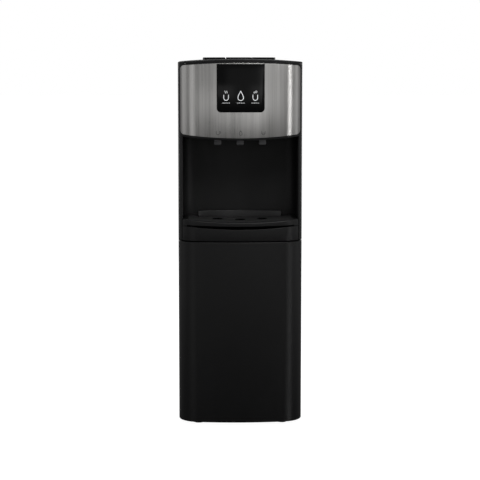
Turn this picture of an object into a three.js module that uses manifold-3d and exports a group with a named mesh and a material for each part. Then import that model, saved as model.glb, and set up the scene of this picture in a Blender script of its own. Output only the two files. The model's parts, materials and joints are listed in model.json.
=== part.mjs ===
// A free-standing bottle-fed water dispenser with three taps, a pull-out drip tray and a lift-out
// bottle guard.
// Millimetres, +Z up, front towards -Y. The origin is the middle of the footprint, on the floor.
import * as THREE from "three";
import { mergeVertices } from "three/addons/utils/BufferGeometryUtils.js";
import Module from "manifold-3d";

const wasm = await Module();
wasm.setup();

// ---- Driving dimensions -------------------------------------------------------------------------
const WIDTH = 310; // across the side panels
const FRONT_Y = -165; // furthest point of the bowed front
const BACK_Y = 165; // back of the condenser
const HEIGHT = 920; // top of the bottle collar
const BULGE_RADIUS = 700; // plan radius of the bowed front
const CORNER_RADIUS = 55; // plan radius of the front corners
const PLASTIC_BACK_Y = -98; // where the front mouldings meet the side panels
const REAR_Y = 134; // outer face of the rear panel

const WALL = 3; // moulded plastic
const SHEET = 1.2; // painted steel sheet
const GAP = 0.4; // between pieces that touch

const PANEL_LOW = 8;
const SEAM_Z = 465; // top of the lower front panel
const SEAM_GAP = 2;
const HEAD_LOW = 717; // lowest point of the head's curved lower edge
const HEAD_SMILE_RADIUS = 1150; // elevation radius of the head's lower edge
const STEEL_LOW = 722.5;
const STEEL_HIGH = 907;
const ARCH_RADIUS = 1800; // elevation radius of the arched top
const FRAME_HIGH = 910.2;
const COVER_HIGH = 916.5;
const COVER_THICK = 6;
const POST_WIDTH = 9; // front posts either side of the recess
const STEEL_HALF_WIDTH = 149;
const STEEL_CORNER = 9;

const WINDOW_HALF_WIDTH = 58.8;
const WINDOW_LOW = 786.5;
const WINDOW_HIGH = 904.3;
const WINDOW_CORNER = 10;

const RECESS_HALF_WIDTH = 143.5; // clear width of the dispensing recess
const RECESS_BACK_Y = -24;
const RECESS_CORNER = 28;
const RECESS_CEILING = 735;
const SHELF_Z = 479; // shelf that the drip tray slides on
const LINER = 2.5;

const TRAY_Z = 514; // lowest point of the tray's dished top
const TRAY_DISH_RADIUS = 1400;
const TRAY_HALF_WIDTH = 143; // inside the liner
const TRAY_FRONT_HALF = 145.4; // between the front posts
const LINER_FRONT_Y = -126;
const GRIP_HIGH = 503.4; // finger grip under the tray's lip, at its middle
const GRIP_LOW = 496;
const GRIP_HALF_WIDTH = 133;
const TRAY_HOLE_RADIUS = 12;
const SPLASH_HIGH = 533;

const TAP_PITCH = 56;
const TAP_Y = -88; // middle tap; the outer two stand a little further back
const TAP_OUTER_SETBACK = 8;

const WELL_Y = 20; // axis of the bottle well and the cold tank
const COLLAR_RADIUS = 93;
const COLLAR_WALL = 9;
const COLLAR_NOTCHES = 8;
const COLLAR_LOW = 882.4;

// ---- Helpers ------------------------------------------------------------------------------------
const product = new THREE.Group();
product.name = "water_dispenser";

const solids = new WeakMap(); // the exact solid behind a geometry that a boolean made

function solid(geometry) {
  if (solids.has(geometry)) return solids.get(geometry);
  const loose = geometry.index ? geometry.toNonIndexed() : geometry;
  const bare = new THREE.BufferGeometry().setAttribute("position", loose.getAttribute("position"));
  const merged = mergeVertices(bare, 1e-3);
  const kept = [];
  const corners = merged.index.array;
  for (let i = 0; i < corners.length; i += 3) {
    const [a, b, c] = corners.slice(i, i + 3);
    if (a !== b && b !== c && c !== a) kept.push(a, b, c);
  }
  return new wasm.Manifold(
    new wasm.Mesh({
      numProp: 3,
      vertProperties: merged.attributes.position.array,
      triVerts: new Uint32Array(kept),
    }),
  );
}

function geometryOf(manifold) {
  const mesh = manifold.getMesh();
  const geometry = new THREE.BufferGeometry();
  geometry.setAttribute(
    "position",
    new THREE.BufferAttribute(new Float32Array(mesh.vertProperties), 3),
  );
  geometry.setIndex(new THREE.BufferAttribute(new Uint32Array(mesh.triVerts), 1));
  geometry.computeVertexNormals();
  solids.set(geometry, manifold);
  return geometry;
}

const cut = (body, ...tools) => geometryOf(tools.reduce((s, t) => s.subtract(solid(t)), solid(body)));
const join = (body, ...more) => geometryOf(more.reduce((s, t) => s.add(solid(t)), solid(body)));
const common = (body, ...more) => geometryOf(more.reduce((s, t) => s.intersect(solid(t)), solid(body)));

// Extrudes a shape drawn in X and Y upwards, from low to high.
function upright(shape, low, high, curveSegments = 6) {
  const made = new THREE.ExtrudeGeometry(
    shape,
    { depth: high - low, bevelEnabled: false, curveSegments },
  );
  return made.translate(0, 0, low);
}

// Extrudes a shape drawn in X and Z (an elevation) along Y.
function alongY(shape, low, high, curveSegments = 4) {
  const made = new THREE.ExtrudeGeometry(
    shape,
    { depth: high - low, bevelEnabled: false, curveSegments },
  );
  return made.rotateX(Math.PI / 2).translate(0, high, 0);
}

// Extrudes a shape drawn in Y and Z (a side view) along X.
function alongX(shape, low, high, curveSegments = 4) {
  const made = new THREE.ExtrudeGeometry(
    shape,
    { depth: high - low, bevelEnabled: false, curveSegments },
  );
  const turn = new THREE.Matrix4().makeBasis(
    new THREE.Vector3(0, 1, 0),
    new THREE.Vector3(0, 0, 1),
    new THREE.Vector3(1, 0, 0),
  );
  return made.applyMatrix4(turn).translate(low, 0, 0);
}

// Turns a closed profile of [radius, height] pairs about the Z axis.
function turned(profile, segments = 16) {
  const points = profile.map(([r, h]) => new THREE.Vector2(r, h));
  return new THREE.LatheGeometry(points, segments).rotateX(Math.PI / 2);
}

function closed(profile) {
  return [...profile, profile[0]];
}

function box(x0, x1, y0, y1, z0, z1) {
  return new THREE.BoxGeometry(x1 - x0, y1 - y0, z1 - z0).translate(
    (x0 + x1) / 2,
    (y0 + y1) / 2,
    (z0 + z1) / 2,
  );
}

function cylinder(radius, low, high, segments = 16) {
  return new THREE.CylinderGeometry(radius, radius, high - low, segments)
    .rotateX(Math.PI / 2)
    .translate(0, 0, (low + high) / 2);
}

function cylinderY(radius, low, high, segments = 12) {
  return new THREE.CylinderGeometry(
    radius, radius, high - low, segments,
  ).translate(0, (low + high) / 2, 0);
}

function cylinderX(radius, low, high, segments = 12) {
  return new THREE.CylinderGeometry(radius, radius, high - low, segments)
    .rotateZ(Math.PI / 2)
    .translate((low + high) / 2, 0, 0);
}

// A round bar along a smooth curve through the points.
function hose(points, radius, steps, sides = 8) {
  const path = new THREE.CatmullRomCurve3(
    points.map((p) => new THREE.Vector3(...p)),
    false,
    "centripetal",
  );
  return barAlong(path, radius, steps, sides);
}

function barAlong(path, radius, steps, sides) {
  const section = new THREE.Shape().absarc(0, 0, radius, 0, 2 * Math.PI);
  return new THREE.ExtrudeGeometry(section, { extrudePath: path, steps, curveSegments: sides / 2 });
}

function roundedRectangle(x0, x1, y0, y1, radius) {
  const s = new THREE.Shape();
  s.moveTo(x0 + radius, y0);
  s.absarc(x1 - radius, y0 + radius, radius, -Math.PI / 2, 0);
  s.absarc(x1 - radius, y1 - radius, radius, 0, Math.PI / 2);
  s.absarc(x0 + radius, y1 - radius, radius, Math.PI / 2, Math.PI);
  s.absarc(x0 + radius, y0 + radius, radius, Math.PI, 1.5 * Math.PI);
  return s;
}

const finish = (
  color,
  roughness,
  metalness = 0,
) => new THREE.MeshStandardMaterial({ color, roughness, metalness });
const blackPlastic = finish(0x18181a, 0.5);
const glossBlack = finish(0x070708, 0.12);
const blackPaint = finish(0x141416, 0.45, 0.2);
const brushedSteel = finish(0x9a9995, 0.34, 1);
const tapGrey = finish(0x3c3c3e, 0.4);
const bareSteel = finish(0xb5b6b8, 0.3, 1);
const whiteFoam = finish(0xe9e9e4, 0.9);
const silicone = finish(0xd8dcdc, 0.5);
const copper = finish(0xb87350, 0.3, 1);
const rubber = finish(0x101010, 0.9);
const boardGreen = finish(0x1d5b38, 0.5);
const switchRed = finish(0x8c1416, 0.35);
const switchGreen = finish(0x14643a, 0.35);

function add(name, geometry, material, group = product) {
  const mesh = new THREE.Mesh(geometry, material);
  mesh.name = name;
  group.add(mesh);
  return mesh;
}

function groupAt(x, y, z) {
  const group = new THREE.Group();
  group.position.set(x, y, z);
  product.add(group);
  return group;
}

// ---- Outline of the bowed front -----------------------------------------------------------------
// The wide front arc and the two corner arcs are tangent, so an inset moves all three by changing only
// their radii.
const cornerX = WIDTH / 2 - CORNER_RADIUS;
const bulgeY = FRONT_Y + BULGE_RADIUS;
const cornerY = bulgeY - Math.sqrt((BULGE_RADIUS - CORNER_RADIUS) ** 2 - cornerX ** 2);
const bulgeSweep = Math.atan2(cornerX, bulgeY - cornerY);
const DOWN = 1.5 * Math.PI;

function plan(inset, back) {
  const half = WIDTH / 2 - inset;
  const s = new THREE.Shape();
  s.absarc(-cornerX, cornerY, CORNER_RADIUS - inset, Math.PI, DOWN - bulgeSweep);
  s.absarc(0, bulgeY, BULGE_RADIUS - inset, DOWN - bulgeSweep, DOWN + bulgeSweep);
  s.absarc(cornerX, cornerY, CORNER_RADIUS - inset, DOWN + bulgeSweep, 2 * Math.PI);
  s.lineTo(half, back);
  s.lineTo(-half, back);
  return s;
}

function planShell(outer, inner, low, high) {
  return cut(
    upright(plan(outer, PLASTIC_BACK_Y), low, high),
    upright(plan(inner, REAR_Y), low - 1, high + 1),
  );
}

// An elevation between two edges; each edge is an arc through (0, height) whose centre is above it
// (smile) or below it
// (arch), or a straight line when its radius is Infinity.
function elevation(half, low, lowRadius, high, highRadius, corner = 0) {
  const rise = (radius) => (radius === Infinity ? 0 : radius - Math.sqrt(radius ** 2 - half ** 2));
  const lowEnd = low + rise(lowRadius);
  const highEnd = high - rise(highRadius);
  const inside = half - corner;
  const s = new THREE.Shape();
  s.moveTo(-inside, lowEnd);
  if (lowRadius < Infinity) {
    const sweep = Math.asin(inside / lowRadius);
    s.absarc(0, low + lowRadius, lowRadius, DOWN - sweep, DOWN + sweep);
  } else s.lineTo(inside, lowEnd);
  if (corner) s.quadraticCurveTo(half, lowEnd, half, lowEnd + corner);
  s.lineTo(half, highEnd - corner);
  if (corner) s.quadraticCurveTo(half, highEnd, inside, highEnd + rise(highRadius) * 0.1);
  if (highRadius < Infinity) {
    const sweep = Math.asin(inside / highRadius);
    s.absarc(0, high - highRadius, highRadius, Math.PI / 2 - sweep, Math.PI / 2 + sweep);
  } else s.lineTo(-inside, highEnd);
  if (corner) s.quadraticCurveTo(-half, highEnd, -half, highEnd - corner);
  s.lineTo(-half, lowEnd + corner);
  if (corner) s.quadraticCurveTo(-half, lowEnd, -inside, lowEnd);
  return s;
}

const IN_FRONT = FRONT_Y - 10;

// ---- Cabinet ------------------------------------------------------------------------------------
const PAN_LOW = 10;
const PAN_THICK = 3;
const panFloor = PAN_LOW + PAN_THICK;

function cabinet() {
  const half = WIDTH / 2;
  const panHalf = half - SHEET - GAP;
  const panBack = REAR_Y - SHEET - GAP;
  const panFront = -136;
  const rim = 22;
  const dish = cut(
    upright(roundedRectangle(-panHalf, panHalf, -90, panBack, 4), PAN_LOW, panFloor + rim),
    upright(
      roundedRectangle(-panHalf + 2, panHalf - 2, -88, panBack - 2, 3),
      panFloor,
      panFloor + rim + 1,
    ),
  );
  add("base_pan", join(dish, box(-122, 122, panFront, -89, PAN_LOW, panFloor)), blackPaint);

  const footProfile = [[0, 0], [13, 0], [15, 3], [13, PAN_LOW - GAP], [0, PAN_LOW - GAP]];
  for (const [name, x, y] of [
    ["foot_front_left", -105, -115],
    ["foot_front_right", 105, -115],
    ["foot_rear_left", -125, 105],
    ["foot_rear_right", 125, 105],
  ])
    add(name, turned(footProfile, 14), rubber, groupAt(x, y, 0));

  const sideHigh = 903;
  for (const [name, sign] of [["side_panel_left", -1], ["side_panel_right", 1]]) {
    const outer = sign * half;
    const inner = sign * (half - SHEET);
    const flange = sign * (half - 14);
    const skin = box(
      Math.min(outer, inner), Math.max(outer, inner), PLASTIC_BACK_Y + GAP, REAR_Y, PANEL_LOW, sideHigh,
    );
    const turn = box(
      Math.min(outer, flange), Math.max(outer, flange), REAR_Y - SHEET, REAR_Y, PANEL_LOW, sideHigh,
    );
    add(name, join(skin, turn), blackPaint);
  }

  const shell = planShell(0, WALL, PANEL_LOW, SEAM_Z);
  const ledge = planShell(0, 14, SEAM_Z - WALL, SEAM_Z);
  const foot = planShell(0, 12, PANEL_LOW, PANEL_LOW + WALL);
  add("front_panel", join(shell, ledge, foot), blackPlastic);
}

// ---- Rear panel, ventilation grille, switches, drain and cord gland -----------------------------
const REAR_SPLIT = 176;
const REAR_HALF = WIDTH / 2 - 14 - GAP;
const SWITCH_X = 92;
const SWITCH_Z = 735;
const SWITCH_PITCH = 26;
const DRAIN = { x: -70, z: 92 };
const GLAND = { x: 92, z: 60 };

function rear() {
  const inner = REAR_Y - SHEET;
  let panel = solid(box(-REAR_HALF, REAR_HALF, inner, REAR_Y, REAR_SPLIT + 1, 903));
  panel = panel.subtract(
    solid(box(SWITCH_X - 29, SWITCH_X + 29, inner - 1, REAR_Y + 1, SWITCH_Z - 16, SWITCH_Z + 16)),
  );
  for (let i = 0; i < 6; i++) {
    const z = 800 + i * 14;
    panel = panel.subtract(solid(box(-60, 60, inner - 1, REAR_Y + 1, z, z + 5)));
  }
  add("rear_panel", geometryOf(panel), blackPaint);

  let grille = solid(box(-REAR_HALF, REAR_HALF, inner, REAR_Y, panFloor + 26, REAR_SPLIT));
  for (let i = 0; i < 9; i++) {
    const x = -34 + i * 12;
    grille = grille.subtract(solid(box(x - 3, x + 3, inner - 1, REAR_Y + 1, 60, 160)));
  }
  const ports = [
    [DRAIN.x, DRAIN.z, 9],
    [GLAND.x, GLAND.z, 8],
  ];
  for (const [x, z, r] of ports)
    grille = grille.subtract(solid(cylinderY(r, inner - 1, REAR_Y + 1, 16).translate(x, 0, z)));
  add("rear_grille", geometryOf(grille), blackPaint);

  // Switch plate: a flanged frame with two windows, and a rocker in each
  const plate = groupAt(SWITCH_X, REAR_Y, SWITCH_Z);
  const flange = box(-32, 32, GAP, 2.4, -19, 19);
  const body = box(-28, 28, -14, 1, -15, 15);
  const windows = [-1, 1].map((side) => box(side * 13 - 9, side * 13 + 9, -12, 4, -12, 12));
  add("switch_plate", cut(join(flange, body), ...windows), blackPlastic, plate);
  for (const [name, side, material] of [
    ["heat_switch_rocker", 1, switchRed],
    ["cool_switch_rocker", -1, switchGreen],
  ]) {
    const rocker = new THREE.Shape();
    rocker.moveTo(-7, -9.5);
    rocker.lineTo(2.2, -10.6);
    rocker.lineTo(1.2, 0);
    rocker.lineTo(4.6, 10.2);
    rocker.lineTo(-4.2, 9.6);
    add(name, alongX(rocker, side * 13 - 8.2, side * 13 + 8.2), material, plate);
  }

  const drain = groupAt(DRAIN.x, REAR_Y, DRAIN.z);
  const spigot = join(cylinderY(8.4, -14, 10, 16), cylinderY(12, GAP, 2.6, 16));
  add("drain_spigot", cut(spigot, cylinderY(5, -15, 11, 12)), blackPlastic, drain);
  const cap = cut(cylinderY(12.5, 3.2, 15, 12), cylinderY(9, 2, 11.5, 16));
  add("drain_cap", cap, glossBlack, drain);
  add("drain_seal", cylinderY(8, 10.4, 11.1, 14), rubber, drain);

  const gland = groupAt(GLAND.x, REAR_Y, GLAND.z);
  const bush = join(cylinderY(7.5, -8, 4, 14), cylinderY(11, GAP, 4, 14));
  add("mains_gland", cut(bush, cylinderY(4, -9, 5, 12)), rubber, gland);
}

// ---- Head: front frame, steel fascia, window and indicator board --------------------------------
function head() {
  const recessHalf = WIDTH / 2 - POST_WIDTH;
  const blank = common(
    planShell(0, WALL, SEAM_Z + SEAM_GAP, HEIGHT),
    alongY(elevation(WIDTH, SEAM_Z, Infinity, FRAME_HIGH, ARCH_RADIUS), IN_FRONT, 0, 10),
  );
  const recess = elevation(recessHalf, 0, Infinity, HEAD_LOW, Infinity);
  const smile = new THREE.Shape();
  const sweep = Math.asin(recessHalf / HEAD_SMILE_RADIUS);
  smile.moveTo(-recessHalf, HEAD_LOW - 20);
  smile.lineTo(recessHalf, HEAD_LOW - 20);
  smile.absarc(0, HEAD_LOW + HEAD_SMILE_RADIUS, HEAD_SMILE_RADIUS, DOWN + sweep, DOWN - sweep, true);
  const rebate = 0.4 + GAP;
  const rebateShape = elevation(
    STEEL_HALF_WIDTH + GAP,
    STEEL_LOW - GAP,
    HEAD_SMILE_RADIUS,
    STEEL_HIGH + GAP,
    ARCH_RADIUS,
    STEEL_CORNER,
  );
  const rebateTool = common(
    planShell(-2, SHEET + rebate, HEAD_LOW, HEIGHT),
    alongY(rebateShape, IN_FRONT, PLASTIC_BACK_Y),
  );
  const lightOpening = box(-46, 46, IN_FRONT, FRONT_Y + 12, 800, 890);
  add(
    "front_frame",
    cut(
      blank,
      alongY(recess, IN_FRONT, 0),
      alongY(smile, IN_FRONT, 0, 5),
      rebateTool,
      lightOpening,
    ),
    blackPlastic,
  );

  const skin = planShell(0, SHEET, HEAD_LOW, HEIGHT);
  const steelShape = elevation(
    STEEL_HALF_WIDTH,
    STEEL_LOW,
    HEAD_SMILE_RADIUS,
    STEEL_HIGH,
    ARCH_RADIUS,
    STEEL_CORNER,
  );
  const windowShape = (grow) => {
    const half = WINDOW_HALF_WIDTH + grow;
    const s = new THREE.Shape();
    s.absarc(-half + WINDOW_CORNER, WINDOW_LOW - grow + WINDOW_CORNER, WINDOW_CORNER, Math.PI, DOWN);
    s.absarc(half - WINDOW_CORNER, WINDOW_LOW - grow + WINDOW_CORNER, WINDOW_CORNER, DOWN, 2 * Math.PI);
    s.lineTo(half, WINDOW_HIGH + grow);
    s.lineTo(-half, WINDOW_HIGH + grow);
    return s;
  };
  const opening = alongY(windowShape(GAP), IN_FRONT, 0, 3);
  add("steel_fascia", cut(common(skin, alongY(steelShape, IN_FRONT, 0)), opening), brushedSteel);
  add("display_window", common(skin, alongY(windowShape(0), IN_FRONT, 0, 3)), glossBlack);

  const board = groupAt(0, FRONT_Y + 14, 845);
  const leds = [-1, 0, 1].map((i) => cylinderY(2.5, -5, 0.5, 8).translate(i * 37, 0, -10));
  add("indicator_board", join(box(-55, 55, 0, 1.6, -35, 35), ...leds), boardGreen, board);
}

// ---- Top cover and lift-out bottle guard --------------------------------------------------------
function top() {
  const under = COVER_HIGH - COVER_THICK;
  const sweep = Math.asin((WIDTH / 2 + 5) / ARCH_RADIUS);
  const band = new THREE.Shape();
  band.absarc(0, COVER_HIGH - ARCH_RADIUS, ARCH_RADIUS, Math.PI / 2 - sweep, Math.PI / 2 + sweep);
  band.absarc(0, under - ARCH_RADIUS, ARCH_RADIUS, Math.PI / 2 + sweep, Math.PI / 2 - sweep, true);
  const sheet = common(
    upright(plan(0, REAR_Y), under - 20, HEIGHT),
    alongY(band, IN_FRONT, REAR_Y + 5, 5),
  );
  const bore = COLLAR_RADIUS + 1;
  const skirt = turned(
    closed(
      [
        [bore - 7, 879], [bore + 2.5, 879], [bore + 2.5, 911], [bore, 911], [bore, COLLAR_LOW - GAP],
        [bore - 7, COLLAR_LOW - GAP],
      ],
    ),
    32,
  ).translate(0, WELL_Y, 0);
  const hole = cylinder(bore, under - 20, HEIGHT, 32).translate(0, WELL_Y, 0);
  add("top_cover", join(cut(sheet, hole), skirt), blackPlastic);

  const well = groupAt(0, WELL_Y, 0);
  const innerRadius = COLLAR_RADIUS - COLLAR_WALL;
  const ring = turned(
    closed([
      [innerRadius, COLLAR_LOW],
      [COLLAR_RADIUS, COLLAR_LOW],
      [COLLAR_RADIUS, HEIGHT - 1.5],
      [COLLAR_RADIUS - 1.5, HEIGHT],
      [innerRadius + 3, HEIGHT],
      [innerRadius, HEIGHT - 5],
    ]),
    32,
  );
  const notches = Array.from({ length: COLLAR_NOTCHES / 2 }, (_, i) =>
    box(-COLLAR_RADIUS - 2, COLLAR_RADIUS + 2, -3, 3, HEIGHT - 8, HEIGHT + 1).rotateZ(
      ((i + 0.5) / COLLAR_NOTCHES) * 2 * Math.PI,
    ),
  );
  add("bottle_collar", cut(ring, ...notches), blackPlastic, well);

  const seat = innerRadius - GAP;
  const neck = 29;
  const socketLow = 816;
  const funnel = turned(
    closed([
      [neck, socketLow],
      [neck + 2.5, socketLow],
      [neck + 2.5, 868],
      [seat, 890],
      [seat, 906],
      [seat - 2.5, 906],
      [seat - 2.5, 891],
      [neck, 870],
    ]),
    32,
  );
  add("bottle_funnel", funnel, blackPlastic, well);

  const probe = turned(
    [[0, 818], [28.5, 818], [28.5, 821], [10, 821], [9, 860], [6, 866], [0, 868]],
    16,
  );
  const ports = [0, 1].map((i) => box(-12, 12, -2.5, 2.5, 824, 840).rotateZ((i * Math.PI) / 2));
  add("feed_probe", cut(probe, ...ports), tapGrey, well);
}

// ---- Dispensing recess --------------------------------------------------------------------------
const tapPlaces = [
  ["hot", -TAP_PITCH, TAP_Y + TAP_OUTER_SETBACK],
  ["ambient", 0, TAP_Y],
  ["cold", TAP_PITCH, TAP_Y + TAP_OUTER_SETBACK],
];

function recessPlan(grow, front) {
  const half = RECESS_HALF_WIDTH + grow;
  const back = RECESS_BACK_Y + grow;
  const radius = RECESS_CORNER + grow;
  const s = new THREE.Shape();
  s.moveTo(-half, front);
  s.lineTo(half, front);
  s.absarc(half - radius, back - radius, radius, 0, Math.PI / 2);
  s.absarc(-half + radius, back - radius, radius, Math.PI / 2, Math.PI);
  return s;
}

function recess() {
  const wallFront = LINER_FRONT_Y;
  const ceilingTop = RECESS_CEILING + LINER;
  const walls = cut(
    upright(recessPlan(LINER, wallFront), SHELF_Z, ceilingTop),
    upright(recessPlan(0, wallFront - 1), SHELF_Z + LINER, RECESS_CEILING),
  );
  const outline = upright(plan(WALL + GAP, RECESS_BACK_Y), RECESS_CEILING, ceilingTop);
  const ceiling = common(
    outline,
    box(-RECESS_HALF_WIDTH - 2, RECESS_HALF_WIDTH + 2, IN_FRONT, -60, 0, HEIGHT),
  );
  const slots = tapPlaces.flatMap(([, x, y]) => [
    cylinder(7.4, RECESS_CEILING - 2, ceilingTop + 2, 16).translate(x, y, 0),
    box(x - 11, x + 11, y - 28, y - 11, RECESS_CEILING - 2, ceilingTop + 2),
  ]);
  add("recess_liner", cut(join(walls, ceiling), ...slots), blackPlastic);
}

// ---- Taps ---------------------------------------------------------------------------------------
// Each tap has a body on the recess ceiling, a push lever on a pin, and a spring-loaded stem that the
// lever's fork lifts.
const BODY_LOW = 705.5;
const BODY_HIGH = 778;
const CHAMBER_LOW = 743;
const CHAMBER_HIGH = 770;
const PIVOT_Y = -20;
const PIVOT_Z = 780;
const LEVER_LOW = 703;

function tap(name, x, y) {
  const group = groupAt(x, y, 0);
  const flangeZ = RECESS_CEILING + LINER + GAP;
  const shell = turned(
    closed([
      [4.5, BODY_LOW],
      [6.5, BODY_LOW],
      [6.5, flangeZ],
      [10.4, flangeZ],
      [10.4, BODY_HIGH],
      [2.7, BODY_HIGH],
      [2.7, CHAMBER_HIGH],
      [8, CHAMBER_HIGH],
      [8, CHAMBER_LOW],
      [4.5, CHAMBER_LOW],
    ]),
    12,
  );
  const inlet = cylinderY(3.8, 9, 21, 8).translate(0, 0, 749);
  const inletBore = cylinderY(2.3, 6, 22, 8).translate(0, 0, 749);
  const ears = [-1, 1].map((side) =>
    box(side * 10.8 - 1.4, side * 10.8 + 1.4, PIVOT_Y - 4, 2, 768, PIVOT_Z + 4)
  );
  const bridge = box(-12, 12, -5, 2, 768, BODY_HIGH);
  const pinHole = cylinderX(1.9, -14, 14, 10).translate(0, PIVOT_Y, PIVOT_Z);
  const chamber = cylinder(8, CHAMBER_LOW, CHAMBER_HIGH, 12);
  const stemHole = cylinder(2.7, CHAMBER_HIGH - 1, BODY_HIGH + 1, 8);
  add(
    `tap_body_${name}`, cut(join(shell, inlet, bridge, ...ears), chamber, stemHole, inletBore, pinHole),
    tapGrey, group,
  );

  add(`tap_pin_${name}`, cylinderX(1.5, -13, 13, 10).translate(0, PIVOT_Y, PIVOT_Z), bareSteel, group);

  // Lever: a flared thumb paddle in front, with a fork that reaches back under the stem's cap
  const face = PIVOT_Y - 4;
  const paddle = new THREE.Shape();
  paddle.moveTo(-9.2, LEVER_LOW);
  paddle.lineTo(9.2, LEVER_LOW);
  paddle.lineTo(8.2, LEVER_LOW + 18);
  paddle.lineTo(7, PIVOT_Z);
  paddle.lineTo(-7, PIVOT_Z);
  paddle.lineTo(-8.2, LEVER_LOW + 18);
  const dish = cylinderX(40, -6.6, 6.6, 32).translate(0, face - 38.4, LEVER_LOW + 15);
  const hub = cylinderX(4, -8.6, 8.6, 12).translate(0, PIVOT_Y, PIVOT_Z);
  const prongs = [-1, 1].map((side) =>
    box(side * 4.6 - 1.5, side * 4.6 + 1.5, PIVOT_Y, 6, PIVOT_Z + 0.6, PIVOT_Z + 3)
  );
  const blank = join(alongY(paddle, face, PIVOT_Y), hub, ...prongs);
  add(`tap_lever_${name}`, cut(blank, dish, pinHole), tapGrey, group);

  const capLow = PIVOT_Z + 4.2;
  const stem = turned(
    [
      [0, 743.4], [6.2, 743.4], [6.2, 749], [2, 749.6], [2, capLow], [7, capLow], [7, capLow + 3],
      [0, capLow + 3],
    ],
    10,
  );
  add(`tap_stem_${name}`, stem, silicone, group);

  class Helix extends THREE.Curve {
    getPoint(t, target = new THREE.Vector3()) {
      const angle = t * 3 * 2 * Math.PI;
      return target.set(4.6 * Math.cos(angle), 4.6 * Math.sin(angle), 750.6 + t * 18);
    }
  }
  add(`tap_spring_${name}`, barAlong(new Helix(), 0.6, 24, 4), bareSteel, group);
}

// ---- Pull-out drip tray -------------------------------------------------------------------------
function dishedBelow(half, low, raise = 0) {
  const sweep = Math.asin(half / TRAY_DISH_RADIUS);
  const s = new THREE.Shape();
  s.moveTo(-half, low);
  s.lineTo(half, low);
  s.absarc(0, TRAY_Z + raise + TRAY_DISH_RADIUS, TRAY_DISH_RADIUS, DOWN + sweep, DOWN - sweep, true);
  return s;
}

// The tray in plan: the bowed front, straight sides and rounded back corners, moved in by an inset.
function trayPlan(inset) {
  const half = TRAY_HALF_WIDTH - inset;
  const back = RECESS_BACK_Y - 2 - inset;
  const radius = Math.max(RECESS_CORNER - inset, 6);
  const front = upright(plan(inset, 0), 0, 1, 6);
  const rear = new THREE.Shape();
  rear.moveTo(-half, IN_FRONT);
  rear.lineTo(half, IN_FRONT);
  rear.absarc(half - radius, back - radius, radius, 0, Math.PI / 2);
  rear.absarc(-half + radius, back - radius, radius, Math.PI / 2, Math.PI);
  return common(front, upright(rear, 0, 1, 4));
}

function slice(geometry, low, high) {
  return geometry.clone().scale(1, 1, high - low).translate(0, 0, low);
}

const BASIN_LOW = SHELF_Z + LINER + GAP;
const GRILLE_THICK = 3;
const GRILLE_INSET = 12;

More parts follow.
